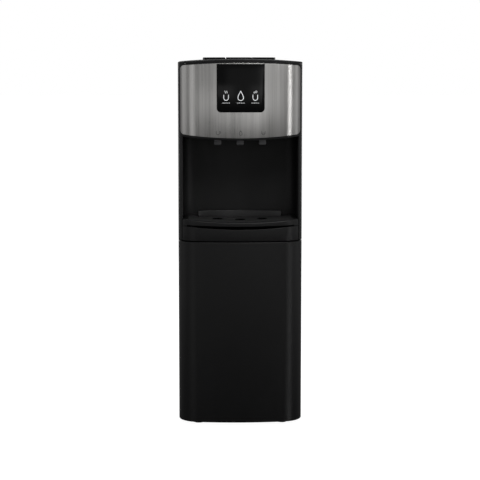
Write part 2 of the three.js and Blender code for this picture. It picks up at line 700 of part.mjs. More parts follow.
function drawer() {
  const lipLow = GRIP_HIGH;
  const front = common(
    upright(plan(0, 0), lipLow, TRAY_Z + 12),
    box(-TRAY_FRONT_HALF, TRAY_FRONT_HALF, IN_FRONT, LINER_FRONT_Y - 1, 0, HEIGHT),
  );
  const rim = common(
    join(slice(trayPlan(0), lipLow, TRAY_Z + 12), front),
    alongY(dishedBelow(WIDTH / 2, lipLow), IN_FRONT, 0, 6),
  );
  const gripTop = new THREE.Shape();
  const upperRadius = 3100;
  const sweep = Math.asin(GRIP_HALF_WIDTH / upperRadius);
  gripTop.moveTo(-GRIP_HALF_WIDTH, GRIP_LOW - 5);
  gripTop.lineTo(GRIP_HALF_WIDTH, GRIP_LOW - 5);
  gripTop.absarc(0, GRIP_HIGH + upperRadius, upperRadius, DOWN + sweep, DOWN - sweep, true);
  const tub = box(-126, 126, -146, -40, BASIN_LOW, lipLow + 0.5);
  const grilleSeat = common(
    slice(trayPlan(GRILLE_INSET), TRAY_Z - GRILLE_THICK - 1, TRAY_Z + 12),
    alongY(seatElevation(), IN_FRONT, 0, 6),
  );
  const basin = box(-123.5, 123.5, -143.5, -42.5, BASIN_LOW + 2.5, TRAY_Z + 12);
  add(
    "drip_tray",
    cut(join(rim, tub), grilleSeat, basin, alongY(gripTop, IN_FRONT, -150, 3)),
    blackPlastic,
  );

  // Fascia: the band under the finger grip, with a crescent cut from its upper edge
  const fasciaHigh = GRIP_HIGH - GAP;
  const band = common(
    planShell(0, WALL, SEAM_Z + SEAM_GAP, fasciaHigh),
    box(-TRAY_FRONT_HALF, TRAY_FRONT_HALF, IN_FRONT, 0, 0, HEIGHT),
  );
  const crescent = new THREE.Shape();
  const lowerRadius = 1180;
  const lowerSweep = Math.asin(GRIP_HALF_WIDTH / lowerRadius);
  crescent.absarc(0, GRIP_LOW + lowerRadius, lowerRadius, DOWN - lowerSweep, DOWN + lowerSweep);
  crescent.lineTo(GRIP_HALF_WIDTH, GRIP_HIGH + 10);
  crescent.lineTo(-GRIP_HALF_WIDTH, GRIP_HIGH + 10);
  const backing = box(-126, 126, -150.5, -146 - GAP, SEAM_Z + SEAM_GAP, fasciaHigh);
  const foot = common(
    planShell(0, 30, SEAM_Z + SEAM_GAP, SEAM_Z + SEAM_GAP + WALL),
    box(-126, 126, IN_FRONT, -148, 0, HEIGHT),
  );
  add(
    "tray_fascia",
    join(cut(band, alongY(crescent, IN_FRONT, -100, 5)), backing, foot),
    blackPlastic,
  );

  // Grille: a dished plate with a hole under each tap
  const plate = common(
    slice(trayPlan(GRILLE_INSET + GAP), TRAY_Z - GRILLE_THICK, TRAY_Z + 12),
    alongY(plateElevation(), IN_FRONT, 0, 6),
  );
  const holes = tapPlaces.map(([, x, y]) =>
    cylinder(TRAY_HOLE_RADIUS, TRAY_Z - 10, TRAY_Z + 15, 20).translate(x, y, 0)
  );
  add("drip_grille", cut(plate, ...holes), blackPlastic);

  // Splash rim: an upstand along the back of the grille, bowed away from the taps
  const bow = 286;
  const backY = -34;
  const halfSweep = Math.asin(106 / bow);
  const arc = new THREE.Shape();
  arc.absarc(0, backY - bow, bow, Math.PI / 2 - halfSweep, Math.PI / 2 + halfSweep);
  arc.absarc(0, backY - bow, bow - WALL, Math.PI / 2 + halfSweep, Math.PI / 2 - halfSweep, true);
  const wall = upright(arc, TRAY_Z, SPLASH_HIGH, 6);
  const below = alongY(dishedBelow(WIDTH / 2, TRAY_Z - 20, GAP), IN_FRONT, 0, 6);
  add("splash_rim", cut(wall, below), glossBlack);
}

function dishedBand(low, high) {
  const sweep = Math.asin(WIDTH / 2 / TRAY_DISH_RADIUS);
  const s = new THREE.Shape();
  s.absarc(0, low + TRAY_DISH_RADIUS, TRAY_DISH_RADIUS, DOWN - sweep, DOWN + sweep);
  s.absarc(0, high + TRAY_DISH_RADIUS, TRAY_DISH_RADIUS, DOWN + sweep, DOWN - sweep, true);
  return s;
}

function seatElevation() {
  return dishedBand(TRAY_Z - GRILLE_THICK - GAP, TRAY_Z + 20);
}

function plateElevation() {
  return dishedBand(TRAY_Z - GRILLE_THICK, TRAY_Z);
}

// ---- Cold tank, hot tank and water lines --------------------------------------------------------
const TANK_RADIUS = 62;
const TANK_LOW = 768;
const TANK_HIGH = 858;
const COIL_RADIUS = 66.6;
const FOAM_INNER = 71;
const FOAM_OUTER = 81;
const FOAM_LOW = 756.5;
const HOT = { x: -72, y: 55, low: 560, high: 700, radius: 44 };

function tanks() {
  const cold = groupAt(0, WELL_Y, 0);
  const can = turned(
    [
      [0, TANK_LOW],
      [TANK_RADIUS, TANK_LOW],
      [TANK_RADIUS, TANK_HIGH],
      [TANK_RADIUS - SHEET, TANK_HIGH],
      [TANK_RADIUS - SHEET, TANK_LOW + SHEET],
      [0, TANK_LOW + SHEET],
    ],
    24,
  );
  add("cold_tank", can, bareSteel, cold);
  const lid = turned(
    closed(
      [[33, TANK_HIGH + GAP], [TANK_RADIUS + 5, TANK_HIGH + GAP], [TANK_RADIUS + 5, 862], [33, 862]],
    ),
    24,
  );
  add("cold_tank_lid", lid, whiteFoam, cold);
  const baffle = turned(
    closed([[8, 800], [TANK_RADIUS - 3, 800], [TANK_RADIUS - 3, 803], [8, 803]]),
    20,
  );
  add("temperature_baffle", baffle, silicone, cold);

  class Coil extends THREE.Curve {
    getPoint(t, target = new THREE.Vector3()) {
      const angle = t * 3 * 2 * Math.PI;
      return target.set(COIL_RADIUS * Math.cos(angle), COIL_RADIUS * Math.sin(angle), 782 + t * 40);
    }
  }
  add("evaporator_coil", barAlong(new Coil(), 2.8, 48, 6), copper, cold);

  const foam = turned(
    [
      [0, FOAM_LOW],
      [FOAM_OUTER, FOAM_LOW],
      [FOAM_OUTER, TANK_HIGH],
      [FOAM_INNER, TANK_HIGH],
      [FOAM_INNER, TANK_LOW - GAP],
      [0, TANK_LOW - GAP],
    ],
    24,
  );
  const ways = [[24, -10], [0, -30], [-20, 15]].map(([x, y]) =>
    cylinder(5.5, FOAM_LOW - 5, TANK_LOW + 5, 8).translate(x, y, 0),
  );
  add("cold_tank_foam", cut(foam, ...ways), whiteFoam, cold);

  const hot = groupAt(HOT.x, HOT.y, 0);
  const boiler = turned(
    closed([
      [12, HOT.low],
      [HOT.radius, HOT.low],
      [HOT.radius, HOT.high],
      [5, HOT.high],
      [5, HOT.high - SHEET],
      [HOT.radius - SHEET, HOT.high - SHEET],
      [HOT.radius - SHEET, HOT.low + SHEET],
      [12, HOT.low + SHEET],
    ]),
    20,
  );
  add("hot_tank", boiler, bareSteel, hot);
  const jacket = turned(
    closed([
      [HOT.radius + GAP, HOT.low],
      [HOT.radius + 13, HOT.low],
      [HOT.radius + 13, HOT.high + 12],
      [8, HOT.high + 12],
      [8, HOT.high + GAP],
      [HOT.radius + GAP, HOT.high + GAP],
    ]),
    20,
  );
  add("hot_tank_jacket", jacket, whiteFoam, hot);
  const flange = turned(
    [
      [0, HOT.low - 6], [20, HOT.low - 6], [20, HOT.low - GAP], [11, HOT.low - GAP], [11, HOT.low + 6],
      [0, HOT.low + 6],
    ],
    14,
  );
  const element = hose(
    [
      [-6, 0, HOT.low + 2], [-8, 0, HOT.low + 60], [0, 0, HOT.low + 100], [8, 0, HOT.low + 60],
      [6, 0, HOT.low + 2],
    ],
    3, 16, 6,
  );
  add("heating_element", join(flange, element), copper, hot);

  // Silicone hoses: each runs from a tap's inlet, or a tank's port, face to face with a small gap
  const inletEnd = 21 + GAP;
  const lineZ = 749;
  const outerY = TAP_Y + TAP_OUTER_SETBACK + inletEnd;
  add(
    "hose_cold",
    hose(
      [
        [TAP_PITCH, outerY, lineZ], [TAP_PITCH, outerY + 14, lineZ], [42, -18, 747], [28, 2, 747],
        [24, WELL_Y - 10, 754], [24, WELL_Y - 10, TANK_LOW - GAP],
      ],
      4, 18, 6,
    ),
    silicone,
  );
  add(
    "hose_ambient",
    hose(
      [
        [0, TAP_Y + inletEnd, lineZ], [0, TAP_Y + inletEnd + 22, 748], [0, -18, 747.5],
        [0, WELL_Y - 30, 753], [0, WELL_Y - 30, TANK_LOW - GAP],
      ],
      4, 14, 6,
    ),
    silicone,
  );
  add(
    "hose_hot",
    hose(
      [
        [-TAP_PITCH, outerY, lineZ], [-TAP_PITCH, outerY + 20, 748], [-66, -10, 746], [HOT.x, 25, 744],
        [HOT.x, HOT.y - 4, 732], [HOT.x, HOT.y, 718], [HOT.x, HOT.y, HOT.high + GAP],
      ],
      4, 20, 6,
    ),
    silicone,
  );
  add(
    "hose_feed",
    hose(
      [
        [-20, WELL_Y + 15, TANK_LOW - GAP], [-20, WELL_Y + 15, 754], [0, 45, 742], [6, 52, 700],
        [6, 52, 580], [-4, 54, 542], [-34, HOT.y, 536], [-62, HOT.y, 538], [HOT.x, HOT.y, 544],
        [HOT.x, HOT.y, HOT.low - 6 - GAP],
      ],
      4, 32, 6,
    ),
    silicone,
  );
}

// ---- Refrigeration ------------------------------------------------------------------------------
const CONDENSER = { y: 155, low: 200, passes: 8, pitch: 54, half: 118, radius: 3 };

function refrigeration() {
  const centre = groupAt(30, 40, panFloor);
  const dome = turned(
    [
      [12, 12],
      [70, 12],
      [74, 20],
      [74, 90],
      [60, 118],
      [30, 130],
      [0, 132],
      [0, 129],
      [29, 127],
      [57, 116],
      [71, 89],
      [71, 21],
      [68, 15],
      [12, 15],
      [12, 12],
    ],
    20,
  );
  const legs = [[-1, -1], [1, -1], [1, 1], [-1, 1]].map(([sx, sy]) =>
    cylinder(9, GAP, 13, 10).translate(sx * 50, sy * 42, 0),
  );
  const stub = cylinder(4, 100, 134, 8).translate(52, 0, 0);
  add("compressor", join(dome, ...legs, stub), blackPaint, centre);

  const { y, low, passes, pitch, half, radius } = CONDENSER;
  const route = new THREE.CurvePath();
  for (let i = 0; i < passes; i++) {
    const side = i % 2 ? 1 : -1;
    const z = low + i * pitch;
    route.add(
      new THREE.LineCurve3(new THREE.Vector3(side * half, y, z), new THREE.Vector3(-side * half, y, z)),
    );
    if (i < passes - 1) {
      const bend = new THREE.CubicBezierCurve3(
        new THREE.Vector3(-side * half, y, z),
        new THREE.Vector3(-side * (half + 29), y, z),
        new THREE.Vector3(-side * (half + 29), y, z + pitch),
        new THREE.Vector3(-side * half, y, z + pitch),
      );
      route.add(bend);
    }
  }

  const high = low + (passes - 1) * pitch;
  const wires = [];
  for (let i = 0; i <= 6; i++) {
    const x = -half + 10 + (i * (2 * half - 20)) / 6;
    wires.push(box(x - 1, x + 1, y + 2, y + 4.4, low - 14, high + 14));
  }
  const bars = [low - 14, high + 12].map((z) => box(-half + 4, half - 4, y + 2, y + 4.4, z, z + 2));
  const stays = [-1, 1].flatMap((side) =>
    [low - 14, high + 12].map((z) => box(side * 90 - 3, side * 90 + 3, REAR_Y + GAP, BACK_Y, z, z + 2)),
  );
  add("condenser", join(serpentine(route, radius), ...bars, ...wires, ...stays), blackPaint);

  const drier = turned(
    [[0, 0], [2.5, 0], [2.5, 8], [9, 18], [9, 78], [2.5, 88], [2.5, 96], [0, 96]],
    12,
  );
  const pipe = hose(
    [
      [82, 40, panFloor + 134 + GAP], [82, 40, 166], [94, 60, 184], [110, 88, 182], [115, 100, 168],
      [115, 100, 150],
    ],
    2.5, 20, 6,
  );
  add("filter_drier", join(drier.translate(115, 100, 60), pipe), copper);
}

// A tube along the serpentine, sampled only where it bends.
function serpentine(route, radius) {
  const points = [];
  route.curves.forEach((curve) => {
    const steps = curve.isLineCurve3 ? 1 : 4;
    for (let i = 0; i < steps; i++) points.push(curve.getPoint(i / steps));
  });
  points.push(route.curves.at(-1).getPoint(1));
  class Corners extends THREE.Curve {
    getPoint(t, target = new THREE.Vector3()) {
      const place = t * (points.length - 1);
      const i = Math.min(Math.floor(place), points.length - 2);
      return target.lerpVectors(points[i], points[i + 1], place - i);
    }
    getPointAt(u, target) {
      return this.getPoint(u, target);
    }
    getTangentAt(u, target = new THREE.Vector3()) {
      const i = Math.round(u * (points.length - 1));
      const before = points[Math.max(i - 1, 0)];
      const after = points[Math.min(i + 1, points.length - 1)];
      const here = points[i];
      const into = here.clone().sub(before).normalize();
      const out = after.clone().sub(here).normalize();
      return target.copy(into.add(out).normalize());
    }
  }
  return barAlong(new Corners(), radius, points.length - 1, 6);
}

cabinet();
rear();
head();
top();
recess();
for (const [name, x, y] of tapPlaces) tap(name, x, y);
drawer();
tanks();
refrigeration();

export default product;
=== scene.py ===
import json
import math
import bmesh
import bpy
import numpy as np
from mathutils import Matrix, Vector
from mathutils.geometry import delaunay_2d_cdt


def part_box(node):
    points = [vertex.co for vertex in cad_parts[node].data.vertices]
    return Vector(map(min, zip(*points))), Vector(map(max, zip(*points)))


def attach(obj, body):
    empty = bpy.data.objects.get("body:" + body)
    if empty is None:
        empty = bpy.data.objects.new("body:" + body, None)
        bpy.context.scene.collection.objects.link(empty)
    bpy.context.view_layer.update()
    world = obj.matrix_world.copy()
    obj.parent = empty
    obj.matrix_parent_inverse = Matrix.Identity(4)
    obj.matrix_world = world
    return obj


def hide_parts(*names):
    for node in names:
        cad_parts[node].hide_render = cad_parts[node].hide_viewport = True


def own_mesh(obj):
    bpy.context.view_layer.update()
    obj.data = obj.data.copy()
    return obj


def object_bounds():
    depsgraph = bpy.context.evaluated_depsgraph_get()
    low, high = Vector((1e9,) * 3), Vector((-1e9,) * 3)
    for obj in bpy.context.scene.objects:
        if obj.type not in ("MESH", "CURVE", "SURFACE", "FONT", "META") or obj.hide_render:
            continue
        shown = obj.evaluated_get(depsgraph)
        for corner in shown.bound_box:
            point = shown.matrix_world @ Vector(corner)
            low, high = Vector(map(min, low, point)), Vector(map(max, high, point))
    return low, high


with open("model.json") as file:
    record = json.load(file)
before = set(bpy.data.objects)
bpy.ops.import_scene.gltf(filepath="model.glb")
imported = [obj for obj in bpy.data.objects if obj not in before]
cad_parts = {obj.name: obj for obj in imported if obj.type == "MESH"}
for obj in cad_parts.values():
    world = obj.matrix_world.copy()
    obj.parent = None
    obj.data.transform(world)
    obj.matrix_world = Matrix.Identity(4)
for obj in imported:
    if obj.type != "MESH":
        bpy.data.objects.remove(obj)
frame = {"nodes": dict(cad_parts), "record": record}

cad_low, cad_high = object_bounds()
SCENE = bpy.context.scene
SCENE.view_settings.view_transform = "Standard"

# ----------------------------------------
# Camera: a long lens far in front of the dispenser, a little above the middle of its height and tipped down.
CAMERA_DISTANCE = 4.0
CAMERA_TILT = math.radians(6.9)
CAMERA_TURN = math.radians(-1.3)
AIM = Vector((0.0020, 0.0, 0.4510))

camera_data = bpy.data.cameras.new("camera")
camera_data.sensor_width = 36.0
camera_data.lens = 116.0
camera = bpy.data.objects.new("camera", camera_data)
toward = Vector((math.sin(CAMERA_TURN) * math.cos(CAMERA_TILT),
                 -math.cos(CAMERA_TURN) * math.cos(CAMERA_TILT),
                 math.sin(CAMERA_TILT)))
camera.location = AIM + toward * CAMERA_DISTANCE
camera.rotation_euler = (-toward).to_track_quat("-Z", "Y").to_euler()
SCENE.collection.objects.link(camera)
SCENE.camera = camera

# ----------------------------------------
# Light: a tall strip beside the right corner draws the bright line down the steel, soft boxes stand in front
# and at both sides, and a white room lifts the rest. The room looks white behind the dispenser, is dimmer as a
# light, and fades below the horizon.
ROOM_LIGHT = 0.22
ROOM_BELOW = 0.055
HORIZON_FADE = (-0.34, -0.20)
WHITE = (1, 1, 1, 1)
LAMP_TARGET = Vector((0, 0, 0.55))
LAMPS = {
    # name: (bearing in degrees from the front towards the right, distance, width, height, middle height, power)
    "strip_right": (51, 2.6, 0.26, 4.4, 0.45, 19),
    "box_left": (-42, 3.2, 1.4, 3.6, 0.5, 9),
    "side_left": (-92, 2.8, 1.8, 2.3, 0.95, 4.0),
    "side_right": (92, 2.8, 1.4, 2.3, 0.95, 4.8),
    "strip_front": (12.5, 4.2, 0.35, 1.8, 0.9, 2.4),
    "box_front": (2, 4.4, 1.1, 1.8, 0.9, 1.6),
    "low_left": (-12, 4.3, 1.5, 0.6, 0.58, 1.9),
    "low_right": (13, 4.3, 1.1, 0.6, 0.58, 1.1),
    "box_high": (16, 2.4, 1.4, 0.8, 2.7, 26),
    "back_left": (-162, 2.8, 1.2, 2.0, 1.2, 14),
    "back_right": (162, 2.8, 1.2, 2.0, 1.2, 14),
}
for name, (bearing, distance, width, height, middle, power) in LAMPS.items():
    lamp = bpy.data.lights.new(name, "AREA")
    lamp.shape = "RECTANGLE"
    lamp.size, lamp.size_y = width, height
    lamp.energy = power
    holder = bpy.data.objects.new(name, lamp)
    turn = math.radians(bearing)
    holder.location = (distance * math.sin(turn), -distance * math.cos(turn), middle)
    holder.rotation_euler = (LAMP_TARGET - holder.location).to_track_quat("-Z", "Y").to_euler()
    SCENE.collection.objects.link(holder)
overhead = bpy.data.lights.new("overhead", "AREA")
overhead.shape, overhead.size, overhead.size_y, overhead.energy = "RECTANGLE", 2.4, 2.4, 50
overhead_holder = bpy.data.objects.new("overhead", overhead)
overhead_holder.location = (0, 0.3, 3.2)
SCENE.collection.objects.link(overhead_holder)

room = bpy.data.worlds.new("white_room")
room.use_nodes = True
room.node_tree.nodes.clear()
SCENE.world = room


def room_node(kind, inputs):
    """One node of the room's shader: each input takes a value or another node's output."""
    made = room.node_tree.nodes.new("ShaderNode" + kind)
    for name, value in inputs.items():
        if isinstance(value, bpy.types.NodeSocket):
            room.node_tree.links.new(value, made.inputs[name])
        else:
            made.inputs[name].default_value = value
    return made.outputs


upward = room_node("SeparateXYZ", {0: room_node("TexCoord", {})["Generated"]})["Z"]
fade = room_node("MapRange", {"Value": upward, "From Min": HORIZON_FADE[0], "From Max": HORIZON_FADE[1],
                              "To Min": ROOM_BELOW, "To Max": ROOM_LIGHT})[0]
lit = room_node("Background", {"Color": WHITE, "Strength": fade})[0]
seen = room_node("Background", {"Color": WHITE, "Strength": 1.0})[0]
camera_ray = room_node("LightPath", {})["Is Camera Ray"]
room_node("OutputWorld", {0: room_node("MixShader", {0: camera_ray, 1: lit, 2: seen})[0]})


# ----------------------------------------
# Floor: a seamless pale floor, bright to look at and dimmer in reflections. The finishes are written with the
# two small classes below: a Signal is a shader value that can be added to another with +, and a Finish is one
# material whose nodes are all made by its node method.
class Signal:
    def __init__(self, finish, socket):
        self.finish, self.socket = finish, socket

    def __add__(self, other):
        return self.finish.node("Math", {"operation": "ADD"}, {0: self, 1: other})

    __radd__ = __add__


class Finish:
    def __init__(self, name, slot, **constants):
        self.slot = slot
        self.material = bpy.data.materials.new(name)
        self.material.use_nodes = True
        self.tree = self.material.node_tree
        self.shader = self.tree.nodes["Principled BSDF"]
        for socket, value in constants.items():
            self.shader.inputs[socket.replace("_", " ")].default_value = value
        self.place = self.node("TexCoord", output="Object")

    def node(self, kind, settings=(), inputs=(), output=0):
        made = self.tree.nodes.new("ShaderNode" + kind)
        for name, value in dict(settings).items():
            setattr(made, name, value)
        for name, value in dict(inputs).items():
            if isinstance(value, Signal):
                self.tree.links.new(value.socket, made.inputs[name])
            else:
                made.inputs[name].default_value = value
        return Signal(self, made.outputs[output])

    def drive(self, **signals):
        for socket, signal in signals.items():
            self.tree.links.new(signal.socket, self.shader.inputs[socket.replace("_", " ")])
        return self

    def noise(self, scale, detail=2.0, roughness=0.5, stretch=(1, 1, 1)):
        where = self.node("Mapping", {}, {"Vector": self.place, "Scale": stretch})
        return self.node("TexNoise", {}, {"Vector": where, "Scale": scale, "Detail": detail,
                                          "Roughness": roughness})

    def spread(self, signal, low, high):
        return self.node("MapRange", {}, {"Value": signal, "From Min": 0.3, "From Max": 0.7,
                                          "To Min": low, "To Max": high})

    def tint(self, signal, first, second):
        return self.node("Mix", {"data_type": "RGBA"}, {0: signal, 6: (*first, 1), 7: (*second, 1)}, output=2)

    def bump(self, height, depth, strength=1.0):
        return self.node("Bump", {}, {"Height": height, "Distance": depth, "Strength": strength})


floor_paint = Finish("studio_floor", "floor", Roughness=1.0, Specular_IOR_Level=0.0)
floor_paint.shader.inputs["Base Color"].default_value = (0.10, 0.10, 0.10, 1)
pale = floor_paint.node("BsdfDiffuse", {}, {"Color": (0.20, 0.20, 0.20, 1)})
glow = floor_paint.node("Emission", {}, {"Color": WHITE, "Strength": 0.97})
floor_seen = floor_paint.node("AddShader", {}, {0: pale, 1: glow})
floor_choice = floor_paint.node("MixShader", {}, {0: floor_paint.node("LightPath"), 2: floor_seen})
floor_paint.tree.links.new(floor_paint.shader.outputs[0], floor_choice.socket.node.inputs[1])
floor_paint.tree.links.new(floor_choice.socket, floor_paint.tree.nodes["Material Output"].inputs[0])

FLOOR = 30.0
floor_mesh = bpy.data.meshes.new("floor")
floor_mesh.from_pydata([(-FLOOR, -FLOOR, 0), (FLOOR, -FLOOR, 0), (FLOOR, FLOOR, 0), (-FLOOR, FLOOR, 0)], [],
                       [[0, 1, 2, 3]])
floor_mesh.materials.append(floor_paint.material)
floor = bpy.data.objects.new("floor", floor_mesh)
floor.visible_glossy = False
SCENE.collection.objects.link(floor)

# ----------------------------------------
# Lower front panel: one full-width moulding in black ABS, bowed in plan with wide round corners. Its top and
# foot turn inwards as ledges, and it clips to the side panels and the base pan.
def moulded(name, slot, colour, roughness, grain=0.00003, specular=0.32):
    """Black or coloured plastic: a fine spark-eroded grain, slow changes of shade, a little uneven gloss."""
    made = Finish(name, slot, IOR=1.5, Specular_IOR_Level=specular)
    slow = made.noise(7.0, 3.0)
    fine = made.noise(1500.0, 2.0, 0.6)
    smears = made.noise(30.0, 5.0, 0.62, (1, 1, 0.35))
    darker = tuple(0.86 * c for c in colour)
    gloss = made.spread(smears, roughness - 0.03, roughness + 0.04) + made.spread(fine, -0.015, 0.015)
    return made.drive(Base_Color=made.tint(slow, darker, colour), Roughness=gloss,
                      Normal=made.bump(fine, grain))


def points_at(*coordinates):
    """Points from their coordinates, each one number or an array of them."""
    return np.stack(np.broadcast_arrays(*coordinates), -1)


def grid_faces(rows, columns, around):
    """Quads between neighbouring rows and columns of a grid; around closes the columns into a ring."""
    column = np.arange(columns if around else columns - 1)
    row = np.arange(rows - 1)[:, None]
    after = (column + 1) % columns
    corners = [row * columns + column, (row + 1) * columns + column,
               (row + 1) * columns + after, row * columns + after]
    return np.stack([np.broadcast_to(c, (rows - 1, len(column))) for c in corners], -1).reshape(-1, 4)


def surface(points, around=False, caps=False):
    """A sheet of quads over a grid of points; caps closes its first and last rows with one flat face each."""
    rows, columns = points.shape[:2]
    faces = grid_faces(rows, columns, around).tolist()
    if caps:
        faces.append(list(range(columns)))
        faces.append([(rows - 1) * columns + c for c in range(columns)][::-1])
    return points.reshape(-1, 3), faces


def weld(mesh):
    """Merges points that coincide and drops edges that no face uses."""
    work = bmesh.new()
    work.from_mesh(mesh)
    bmesh.ops.remove_doubles(work, verts=work.verts, dist=2e-6)
    bmesh.ops.dissolve_degenerate(work, edges=work.edges, dist=1e-7)
    bmesh.ops.delete(work, geom=[edge for edge in work.edges if not edge.link_faces], context="EDGES")
    work.to_mesh(mesh)
    work.free()


def smooth(mesh):
    """Shades a mesh as smooth, with a crease wherever its faces meet at more than the sharp angle."""
    mesh.polygons.foreach_set("use_smooth", np.ones(len(mesh.polygons), bool))
    mesh.set_sharp_from_angle(angle=math.radians(32))


def make_mesh(name, surfaces, finish):
    """One object from several closed surfaces. A surface whose signed volume comes out negative has its faces
    turned round."""
    vertices, faces = [], []
    for points, quads in surfaces:
        start = sum(map(len, vertices))
        triangles = np.array([(q[0], q[i], q[i + 1]) for q in quads for i in range(1, len(q) - 1)])
        a, b, c = (points[triangles[:, i]] for i in range(3))
        inside_out = np.einsum("ij,ij->i", a, np.cross(b, c)).sum() < 0
        vertices.append(points)
        faces += [[start + v for v in (q[::-1] if inside_out else q)] for q in quads]
    mesh = bpy.data.meshes.new(name)
    mesh.from_pydata(np.concatenate(vertices).tolist(), [], faces)
    weld(mesh)
    smooth(mesh)
    mesh.materials.append(finish.material)
    piece = bpy.data.objects.new(name, mesh)
    SCENE.collection.objects.link(piece)
    return piece


def fit(piece, finish, body, *nodes):
    """Rides the piece on its body and lets it stand for the CAD nodes it details, which it hides. The finish is
    not used.
    """
    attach(piece, body)
    if nodes:
        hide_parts(*nodes)
    return piece


def show(name, surfaces, finish, body, *nodes):
    """Makes a piece and fits it."""
    return fit(make_mesh(name, surfaces, finish), finish, body, *nodes)


BULGE = 0.700
CORNER = 0.055
HALF = cad_high.x
FRONT = cad_low.y
CORNER_X = HALF - CORNER
BULGE_Y = FRONT + BULGE
CORNER_Y = BULGE_Y - math.sqrt((BULGE - CORNER) ** 2 - CORNER_X ** 2)
JOIN_TURN = math.atan2(CORNER_X, BULGE_Y - CORNER_Y)
JOIN_X = BULGE * math.sin(JOIN_TURN)
MOULDING_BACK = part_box("front_panel")[1].y


def front_outline(x):
    """Where the bowed front stands at each x, and its outward normal. The wide arc and the corner arc share a
    tangent; on both, a point is the arc's centre plus its radius times the normal (sin turn, -cos turn)."""
    x = np.asarray(x, float)
    on_bulge = np.abs(x) <= JOIN_X
    bulge_turn = np.arcsin(np.clip(x / BULGE, -1, 1))
    corner_turn = np.sign(x) * np.arcsin(np.clip((np.abs(x) - CORNER_X) / CORNER, 0, 1))
    turn = np.where(on_bulge, bulge_turn, corner_turn)
    normal = points_at(np.sin(turn), -np.cos(turn))
    y = np.where(on_bulge, BULGE_Y, CORNER_Y) - np.where(on_bulge, BULGE, CORNER) * np.cos(turn)
    return points_at(x, y), normal


def across(half, *marks):
    """Values of x from -half to half: even steps on the wide arc, even turns on the corners, and marks."""
    turns = np.linspace(JOIN_TURN, math.pi / 2, 30)
    corner = CORNER_X + CORNER * np.sin(turns)
    right = np.concatenate([np.linspace(0, JOIN_X, 28), corner, [half], np.abs(marks)])
    right = right[right <= half + 1e-9]
    return np.unique(np.round(np.concatenate([-right, right]), 6))


def wrapped(outline):
    """Adds the short straight run back to the side panels at both ends of a full-width outline."""
    places, normals = outline
    ends = np.array([[-HALF, MOULDING_BACK], [HALF, MOULDING_BACK]])
    return (np.concatenate([ends[:1], places, ends[1:]]),
            np.concatenate([[[-1.0, 0.0]], normals, [[1.0, 0.0]]]))


def round_edge(offset, height, radius, start, steps=4):
    """A quarter circle from the start angle, anticlockwise, as (offset, height) pairs round its centre."""
    angles = np.radians(start) + np.linspace(0, math.pi / 2, steps + 1)
    return [(offset + radius * math.cos(a), height + radius * math.sin(a)) for a in angles]


def set_out(outline, profile):
    """The points of a profile carried along an outline: each stands out by its offset along the outward normal,
    at its own height. Either may change along the outline."""
    places, normals = outline
    offset, height = (np.stack([np.broadcast_to(value, len(places)) for value in values], 1)
                      for values in zip(*profile))
    plan = places[:, None, :] + normals[:, None, :] * offset[..., None]
    return np.concatenate([plan, height[..., None]], -1)


def rounded_face(out, low, high, foot, top, steps=4):
    """The outer side of a profile from low to high, with an edge radius of its own at each end."""
    return (round_edge(out - foot, low + foot, foot, -90, steps)
            + round_edge(out - top, high - top, top, 0, steps))


def swept(outline, profile):
    """A closed profile carried along an outline, with flat ends."""
    return surface(set_out(outline, profile), around=True, caps=True)


SHELL = 0.003
black_shell = moulded("black_moulding", "black_plastic", (0.0036, 0.0036, 0.0039), 0.44, specular=0.28)
panel_low, panel_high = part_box("front_panel")
low, high, edge = panel_low.z, panel_high.z, 0.0028
front_panel_profile = (
    round_edge(-0.002, low + 0.002, 0.002, -90) + round_edge(-edge, high - edge, edge, 0, 6)
    + [(-0.014, high), (-0.014, high - SHELL), (-SHELL - 0.001, high - SHELL), (-SHELL, high - SHELL - 0.001),
       (-SHELL, low + SHELL), (-0.012, low + SHELL), (-0.012, low)])
show("lower_front_panel", [swept(wrapped(front_outline(across(HALF))), front_panel_profile)],
     black_shell, "cabinet", "front_panel")


# ----------------------------------------
# Head frame: the black bezel round the steel and the two slim posts beside the recess are one moulding. A
# shallow rebate in its face takes the steel skin, and its lower edge dips in the middle like a smile.
frame_low, frame_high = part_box("front_frame")
steel_low, steel_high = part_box("steel_fascia")
window_low, window_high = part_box("display_window")
liner_low, liner_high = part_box("recess_liner")
SMILE = 1.150
ARCH = 1.800
HEAD_LOW = steel_low.z - 0.0055
POST_INNER = liner_high.x
STEEL_HALF = steel_high.x
STEEL_CORNER = 0.009
LEAD = 0.0004


def bowl(x, middle, radius):
    """Height of an edge that is lowest in the middle: a circle's sagitta above it."""
    return middle + radius - np.sqrt(radius ** 2 - np.asarray(x) ** 2)


def dome(x, middle, radius):
    """Height of an edge that is highest in the middle."""
    return middle - radius + np.sqrt(radius ** 2 - np.asarray(x) ** 2)


def corner_lift(x, half, radius):
    """How far a rounded corner lifts an edge at x: a quarter circle inside the last radius before half."""
    inside = np.clip(radius - (half - np.abs(x)), 0, radius)
    return radius - np.sqrt(radius ** 2 - inside ** 2)


def steel_edges(x, grow=0.0):
    """Lower and upper edge of the steel skin at x, grown outwards."""
    half = STEEL_HALF + grow
    radius = STEEL_CORNER + grow
    lift = corner_lift(np.clip(x, -half, half), half, radius)
    return bowl(x, steel_low.z - grow, SMILE) + lift, dome(x, steel_high.z + grow, ARCH) - lift


